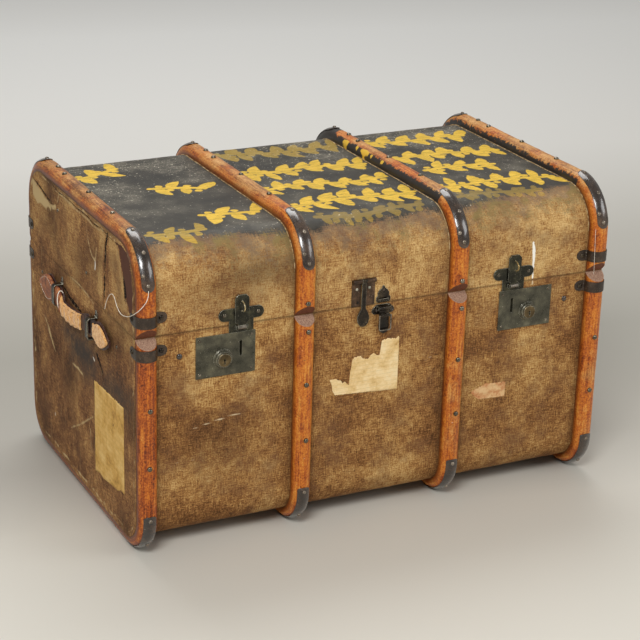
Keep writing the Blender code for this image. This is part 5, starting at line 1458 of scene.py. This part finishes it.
# %% Labels
def add_label(name, wall, across, top, bottom, seed, paper, curl):
    """Paper between two edges, each given as (across, height) in millimetres, on one wall of the body."""
    x = np.linspace(*across, 180)
    random = np.random.default_rng(seed)
    jag = np.interp(x, np.linspace(*across, 60), random.normal(0, 0.8, 60))
    upper = np.interp(x, *np.transpose(top)) + jag
    lower = np.interp(x, *np.transpose(bottom)) + 0.35 * jag[::-1]
    share = np.linspace(0, 1, 40)[:, None]
    rim = np.minimum(np.minimum(share, 1 - share) * (upper - lower), np.minimum(x - across[0], across[1] - x))
    z = (lower + share * (upper - lower)) * MM
    x = np.broadcast_to(x * MM, z.shape)
    flat = np.stack([x, 0 * x, z], -1)
    curled = curl * np.exp(-rim / 2.5) * (ripple(flat, 0.03, seed + 1) > 0.3)
    lift = SKIN + (0.35 + 0.08 * ripple(flat, 0.02, seed) + curled) * MM
    x, z, out = hemmed(x, z, lift, low=0.1 * MM)
    points = wall(x, z, out)
    return add_piece(name, points, grid_faces(*x.shape), "body", paper, inside=MIDDLE)


def front_wall(x, z, out):
    """Points on the front, as on_end gives them on an end."""
    return np.stack([x, -HALF_DEPTH - out, z], -1)


left_wall = partial(on_end, -1)
# The torn edge of the front label, as (x, z)
front_top = [
    (-89.9, 259.8), (-80, 259.8), (-69.8, 255.8), (-66.5, 250), (-63, 252.8), (-54.5, 245), (-53.6, 256.3),
    (-53, 270.9), (-51.3, 274.6), (-49.4, 289.6), (-46.2, 293.1), (-34.5, 293.7), (-29.3, 289.3),
    (-19.4, 286.2), (-16, 292.4), (-9.4, 295.4), (-5.5, 291.7), (1, 290.5), (2.5, 299), (3.2, 306),
    (4.5, 315), (8.2, 316.7), (14.9, 318.3), (25.1, 317.3), (30.3, 315.9), (36.9, 318.9),
]
front_bottom = [(-89.9, 258.2), (-86, 249), (-85, 240), (-80, 231), (32.1, 223.5), (36.9, 223.2)]
add_label("front_label", front_wall, (-89.9, 36.9), front_top, front_bottom, 71, front_paper, 0.5)
end_top = [(-207, 246), (-68, 240)]
end_bottom = [(-207, 92), (-190, 92), (-175, 84), (-150, 82), (-107, 76), (-90, 78), (-68, 74)]
add_label("end_label", left_wall, (-206, -69), end_top, end_bottom, 73, end_paper, 0.3)
scrap_top = [(184, 193), (198, 199), (212, 204), (251, 201)]
scrap_bottom = [(184, 190), (198, 177), (251, 174)]
add_label("label_scrap", front_wall, (184, 251), scrap_top, scrap_bottom, 75, scrap_paper, 0.2)
print("Labels: 3")

# %% [markdown]
# ## Leather handles
#
# A handle is a stitched strap that slides in two iron loops. The right one is whole, so one rounded section
# makes it. The left one has torn: its back ply is whole, its outer ply is left only at the back, and between
# and before the loops the raw fibrous core shows. Each ply is a rounded section carried along the handle's
# length.

# %% Handles
GRIP_HALF = 163 * MM
LOOP_Y = 85 * MM
NECK_START, NECK_END = LOOP_Y - 8.75 * MM, LOOP_Y + 8.75 * MM
NECK = 34 * MM
grip_low, grip_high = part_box("handle_grip_left")
GRIP_Z = (grip_low.z + grip_high.z) / 2
GRIP_OUT = 5.5 * MM
GRIP_THICK = 12 * MM
GRIPS = {-1: "handle_grip_left", 1: "handle_grip_right"}


def strap_height(y):
    """The strap's height: oval tabs beyond the loops, a neck through them, and a fuller middle."""
    reach = np.abs(y)
    share = np.clip((reach - NECK_END) / (GRIP_HALF - NECK_END), 0, 1)
    oval = 46 * MM * np.sin(math.pi * (0.16 + 0.80 * share))
    tab = np.maximum(NECK * (1 - share) + 12 * MM * share, oval)
    middle = NECK + 3.5 * MM * np.cos(np.clip(reach / NECK_START, 0, 1) * math.pi / 2) ** 2
    return np.where(reach > NECK_END, tab, np.where(reach > NECK_START, NECK, middle))


def torn_away(y):
    """How far the torn handle's upper edge has gone down between its loops: a level dip with sloping ends."""
    return 8 * MM * np.clip((y + 62 * MM) / (30 * MM), 0, 1) * np.clip((72 * MM - y) / (16 * MM), 0, 1)


def sag(y):
    """How far the torn strap hangs down between its loops, most behind the middle, in two smooth slopes."""
    behind = np.clip((72 * MM - y) / (22 * MM), 0, 1)
    before = np.clip((y + 70 * MM) / (100 * MM), 0, 1)
    return 12 * MM * behind**2 * (3 - 2 * behind) * before**2 * (3 - 2 * before)


def add_ply(name, side, y, low, high, inset, material, seed, rough=0.0, power=4.0):
    """A ply of leather, from low to high over the handle's back. Its section is a superellipse, a soft box."""
    angle = np.linspace(0, math.tau, 37)[:-1]
    waves = np.array([np.cos(angle), np.sin(angle)])
    wave_out, wave_up = np.sign(waves) * np.abs(waves) ** (2 / power)
    low, high = (GRIP_OUT + np.broadcast_to(edge, y.shape)[:, None] for edge in (low, high))
    y = y[:, None] + 0 * angle
    gone, down = (torn_away(y), sag(y)) if side < 0 else (0, 0)
    out = (low + high) / 2 + (high - low) / 2 * wave_out
    z = GRIP_Z - down - gone / 2 + (strap_height(y) / 2 - inset - gone / 2) * wave_up
    places = np.stack([out, y, z], -1)
    bump = rough * ripple(places, 0.006, seed) + 0.12 * MM * ripple(places, 0.02, seed + 1)
    out = out + bump * np.clip(wave_out, 0, 1)
    z = z + 0.6 * bump * wave_up
    ring = np.append(run_length(out[0], z[0]), 0)
    ring[-1] = ring[-2] + 1 * MM
    points = on_end(side, y, z, out)
    ply = add_grid(name, points, GRIPS[side], "handle_leather", material, ring, y[:, 0], solid=True)
    ply.data.set_sharp_from_angle(angle=math.radians(50))
    return ply


def stations(start, end, step=2.2 * MM):
    """Even steps from start to end, four at least."""
    return np.linspace(start, end, max(round(abs(end - start) / step), 4) + 1)


whole_y = stations(-GRIP_HALF, GRIP_HALF)
whole_grip = add_ply("whole_handle", 1, whole_y, 0.0, GRIP_THICK, 0.0, dressed_leather, 81)
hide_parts("handle_grip_right")
back_ply = add_ply("torn_handle_back_ply", -1, whole_y, 0.0, 3.4 * MM, 0.0, dark_leather, 82)
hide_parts("handle_grip_left")
outer_y = stations(60 * MM, GRIP_HALF - 0.5 * MM)
add_ply("torn_handle_outer_ply", -1, outer_y, 3.5 * MM, GRIP_THICK, 0.3 * MM, red_leather, 83)
core_y = stations(-37 * MM, 62 * MM, 1.2 * MM)
core_top = (9.6 + 0.9 * np.sin(core_y * 260)) * MM
core = (3.2 * MM, core_top, 0.4 * MM, raw_leather, 84)
add_ply("torn_handle_middle_core", -1, core_y, *core, rough=0.6 * MM, power=3.0)
inner_y = stations(-74 * MM, -36 * MM)
core = (3.2 * MM, 6.2 * MM, 2.5 * MM, dark_leather, 85)
add_ply("torn_handle_dark_core", -1, inner_y, *core, rough=0.4 * MM)
tab_y = stations(-GRIP_HALF + 5 * MM, -95 * MM, 1.2 * MM)
core = (3.2 * MM, 7.4 * MM, 4.2 * MM, raw_leather, 86)
add_ply("torn_handle_front_core", -1, tab_y, *core, rough=0.5 * MM)
# A thread tied once round the torn handle
angle = np.arange(36) / 36 * math.tau
loop_y = 63 * MM + 2 * MM * np.sin(angle)
loop_z = GRIP_Z - sag(loop_y) + (strap_height(loop_y) / 2 - 1 * MM) * np.sin(angle)
loop_out = GRIP_OUT + GRIP_THICK / 2 + (GRIP_THICK / 2 + 0.6 * MM) * np.cos(angle)
loop_path = on_end(-1, loop_y, loop_z, loop_out)
across_loop = np.stack([-np.cos(angle), 0 * angle, np.sin(angle)], -1)
along_loop = np.tile([0, 1.0, 0], (36, 1))
look = (1.1 * MM, "handle_grip_left", "handle_leather", linen)
add_loop("handle_thread_loop", loop_path, across_loop, along_loop, *look)


def add_stitches(name, side, y, inset, out, reach=1.5 * MM, material=linen):
    """Short raised stitches along both edges of a strap: tapered bars with six sides, laid nose to tail."""
    share = np.linspace(-1, 1, 5)[:, None]
    turn = np.arange(6) / 6 * math.tau
    width = 0.42 * MM * np.sqrt(np.clip(1.04 - share**2, 0, 1))
    along = y[:, None, None] + reach * share + 0 * turn
    points = []
    for way in (-1, 1):
        edge = GRIP_Z + way * (strap_height(along) / 2 - inset)
        if side < 0:
            edge = edge - sag(along) - torn_away(along) * (way > 0)
        points.append(on_end(side, along, edge + width * np.cos(turn), out + width * np.sin(turn)))
    points = np.concatenate(points)
    one = grid_faces(5, 6, ring=True).tolist() + [list(range(6)), list(range(24, 30))[::-1]]
    faces = repeat_faces(one, 30, len(points))
    return add_piece(name, points, faces, GRIPS[side], material)


tab = np.arange(102 * MM, 156 * MM, 4.4 * MM)
between = np.arange(-68 * MM, 69 * MM, 4.4 * MM)
stitch_out = GRIP_OUT + GRIP_THICK - 0.25 * MM
add_stitches("whole_handle_stitches", 1, np.concatenate([-tab, between, tab]), 4.2 * MM, stitch_out)
add_stitches("torn_handle_stitches", -1, tab, 4.2 * MM, stitch_out)
holes = np.arange(-33 * MM, 58 * MM, 3.2 * MM)
hole_out = GRIP_OUT + core_top[0] - 0.9 * MM
add_stitches("torn_handle_holes", -1, holes, 3.2 * MM, hole_out, 0.9 * MM, dark_leather)
print("Handle plies and stitches are made")

# %% [markdown]
# ## Frayed threads
#
# A tear in canvas shows loose thread ends. Each is a bent, tapering strand with three sides, too thin to
# need more. All of them are worked out together, as arrays of strands by rings by sides. Two longer threads
# hang on the lid: one from a cap's rivet over the left end, one down the right-hand slat.


# %% Fray and hanging threads
def add_fray(name, feet, ways, lengths, outwards, body, material):
    """Strands that start at their feet, run their ways, lift outwards and sag, tapering to a point."""
    radius = 0.18 * MM
    share = np.linspace(0, 1, 5)[None, :, None]
    feet, ways, outwards = (np.asarray(values, float)[:, None] for values in (feet, ways, outwards))
    lengths = np.asarray(lengths)[:, None, None]
    lift = outwards * np.sin(share * math.pi * 0.7) * 0.22 * lengths
    middle = feet + ways * lengths * share + lift - np.array([0, 0, 0.25]) * lengths * share**2
    side = np.cross(ways, outwards)
    turn = (np.arange(3) / 3 * math.tau)[None, None, :, None]
    thick = radius * (1 - 0.8 * share)[..., None]
    ring = side[:, :, None] * np.cos(turn) + outwards[:, :, None] * np.sin(turn)
    points = middle[:, :, None] + ring * thick
    one = grid_faces(5, 3, ring=True).tolist() + [[0, 1, 2], [14, 13, 12]]
    return add_piece(name, points, repeat_faces(one, 15, len(feet)), body, material)


random = np.random.default_rng(91)
fray = {part: [] for part in PARTS}
for line in CRACKS + [[(y, z, 0) for y, z in outline + outline[:1]] for outline in BARE + PALE]:
    line = np.array(line)
    spread = run_length(line[:, 0], line[:, 1])
    at = random.uniform(0, spread[-1], int(spread[-1] / 3.5))
    y, z = (np.interp(at, spread, line[:, column]) + random.normal(0, 0.8, len(at)) for column in (0, 1))
    for here in zip(y, z, random.uniform(2, 6, len(at)), random.uniform(0, math.tau, len(at))):
        fray["lid" if here[1] > SEAM / MM + 2 else "body"].append(here)
for part, strands in fray.items():
    y, z, length, turn = np.array(strands).T
    keep = (np.abs(z - SEAM / MM) > 5) & (np.abs(y) < HALF_DEPTH / MM - 12)
    y, z, length, turn = (values[keep] * (MM if values is not turn else 1) for values in (y, z, length, turn))
    feet = on_end(-1, y, z, SKIN + 0.3 * MM)
    ways = np.stack([0 * turn, np.cos(turn), np.sin(turn)], -1)
    outs = np.tile([-1.0, 0, 0], (len(y), 1))
    strands = add_fray(f"{part}_end_fray", feet, ways, length, outs, part, canvas_fray)
    print(strands.name, len(y), "threads")


def add_thread(name, points, radius, body):
    """A hanging thread as a curve of one spline through its points."""
    curve = bpy.data.curves.new(name, "CURVE")
    curve.dimensions = "3D"
    curve.bevel_depth = radius
    curve.bevel_resolution = 2
    curve.use_fill_caps = True
    spline = curve.splines.new("POLY")
    spline.points.add(len(points) - 1)
    spline.points.foreach_set("co", np.column_stack([points, np.ones(len(points))]).ravel())
    curve.materials.append(linen)
    thread = new_object(name, curve)
    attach(thread, body)
    return thread


def smooth_line(points, count):
    """A curve through points, by Catmull and Rom: each stretch is a cubic of its four nearest points."""
    points = np.asarray(points, float)
    padded = np.concatenate([[2 * points[0] - points[1]], points, [2 * points[-1] - points[-2]]])
    t = np.linspace(0, len(points) - 1, count)
    index = np.minimum(t.astype(int), len(points) - 2)
    t = (t - index)[:, None]
    a, b, c, d = (padded[index + shift] for shift in range(4))
    return 0.5 * (2 * b + (c - a) * t + (2 * a - 5 * b + 4 * c - d) * t**2 + (3 * b - a - 3 * c + d) * t**3)


# From the rivet of the left slat's cap, over the slat's side and across the torn end, as (x, y, z)
LEFT_THREAD = [
    (-417.7, -281.2, 470), (-419, -282.5, 460.9), (-423, -282, 451), (-430.5, -276, 438.5),
    (-435.5, -268, 430.5), (-437, -254, 422), (-437, -236.8, 415), (-436.6, -212.4, 409.6),
    (-436.6, -194.7, 414.3), (-436.6, -182.9, 425.3), (-436.6, -172.1, 429.6), (-436.6, -157.8, 422.6),
    (-436.6, -143.8, 407.3), (-436.6, -135.8, 391.9),
]
# From the rivet of the right slat's cap down the front of the slat
RIGHT_THREAD = [(397, -281.5, 468), (398.5, -282, 430), (400, -282, 400), (401, -281, 386)]
add_thread("left_linen_thread", smooth_line(LEFT_THREAD, 60) * MM, 0.55 * MM, "lid")
add_thread("right_linen_thread", smooth_line(RIGHT_THREAD, 24) * MM, 0.3 * MM, "lid")

# %% [markdown]
# ## Floor, light and camera
#
# The picture is a plain studio shot. The floor is a pale grey sheet that the light reaches unevenly, so its
# colour changes from front to back: pale before the trunk, greyer beside it and pale again far behind.
# Light comes from a soft source above and to the left, a weaker one from the right, one from above and
# behind, and a pale surround. The camera is where a fitted perspective puts it, with a slight roll.

# %% Floor
VIEW_YAW = math.radians(25.196)
# Pale grey paper, smooth and half matt
floor_paint, node = new_material("studio_floor")
onward = (math.sin(VIEW_YAW - 0.22), math.cos(VIEW_YAW - 0.22), 0)
away = node("VectorMath", node("TexCoord"), onward, output="Value", operation="DOT_PRODUCT")
away = node("MapRange", away, From_Min=-0.6, From_Max=3.4)
greys = [(0.0, "#CDC9BF"), (0.09, "#CBC7BD"), (0.15, "#AEAAA1"), (0.28, "#A3A097"), (0.42, "#B6B3AB")]
greys += [(0.62, "#DDDBD6"), (1.0, "#FDFDFB")]
node(SHADER, Base_Color=node("ValToRGB", away, stops=greys), Roughness=0.55)
FLOOR_HALF = 14
corners = [(x * FLOOR_HALF, y * FLOOR_HALF, 0) for x, y in ((-1, -1), (1, -1), (1, 1), (-1, 1))]
floor_mesh = bpy.data.meshes.new("floor")
floor_mesh.from_pydata(corners, [], [(0, 1, 2, 3)])
floor_mesh.materials.append(floor_paint)
floor = new_object("floor", floor_mesh)

world = bpy.data.worlds.new("studio")
bpy.context.scene.world = world
world.use_nodes = True
surround = world.node_tree.nodes["Background"].inputs
surround["Color"].default_value = colour("#D9D7D2")
surround["Strength"].default_value = 0.5
print("The floor is", 2 * FLOOR_HALF, "m wide")


# %% Lamps and camera
def unit(vector):
    """The same direction with length one."""
    return vector / np.linalg.norm(vector)


def set_down(name, data, place, right, forward):
    """A lamp or a camera at a place. Its own axes point right, upward and backward."""
    thing = new_object(name, data)
    axes = np.eye(4)
    axes[:3] = np.column_stack([right, np.cross(right, forward), -forward, place])
    thing.matrix_world = Matrix(axes.tolist())
    return thing


def add_lamp(name, place, height, width, depth, power):
    """A soft rectangular lamp at a place, turned to a height in the trunk's middle."""
    data = bpy.data.lights.new(name, "AREA")
    data.shape = "RECTANGLE"
    data.size, data.size_y, data.energy = width, depth, power
    forward = unit(np.array([0, 0, height]) - place)
    return set_down(name, data, place, unit(np.cross(forward, [0, 0, 1.0])), forward)


add_lamp("key_lamp", (-2.0, -2.6, 3.2), 0.3, 1.3, 1.3, 108)
add_lamp("fill_lamp", (3.0, -2.6, 2.2), 0.3, 2.2, 1.6, 48)
add_lamp("top_lamp", (0.3, 1.6, 3.2), 0.4, 2.6, 1.6, 60)

CAMERA_PLACE = (-1.3939, -2.7946, 1.4817)
YAW, PITCH, ROLL = VIEW_YAW, math.radians(-21.118), math.radians(1.139)
FOCAL_PIXELS, FRAME_PIXELS, AXIS_X, AXIS_Y = 1879.86, 640, 270.33, 310.23
forward = np.array([math.sin(YAW) * math.cos(PITCH), math.cos(YAW) * math.cos(PITCH), math.sin(PITCH)])
level = np.array([math.cos(YAW), -math.sin(YAW), 0.0])
right = level * math.cos(ROLL) + np.cross(level, forward) * math.sin(ROLL)
camera_data = bpy.data.cameras.new("camera")
camera_data.sensor_width = 36
camera_data.lens = camera_data.sensor_width * FOCAL_PIXELS / FRAME_PIXELS
camera_data.shift_x = (FRAME_PIXELS / 2 - AXIS_X) / FRAME_PIXELS
camera_data.shift_y = (AXIS_Y - FRAME_PIXELS / 2) / FRAME_PIXELS
camera = set_down("camera", camera_data, CAMERA_PLACE, right, forward)
bpy.context.scene.camera = camera
bpy.context.scene.view_settings.view_transform = "Standard"
print("Camera lens", round(camera_data.lens, 2), "mm")
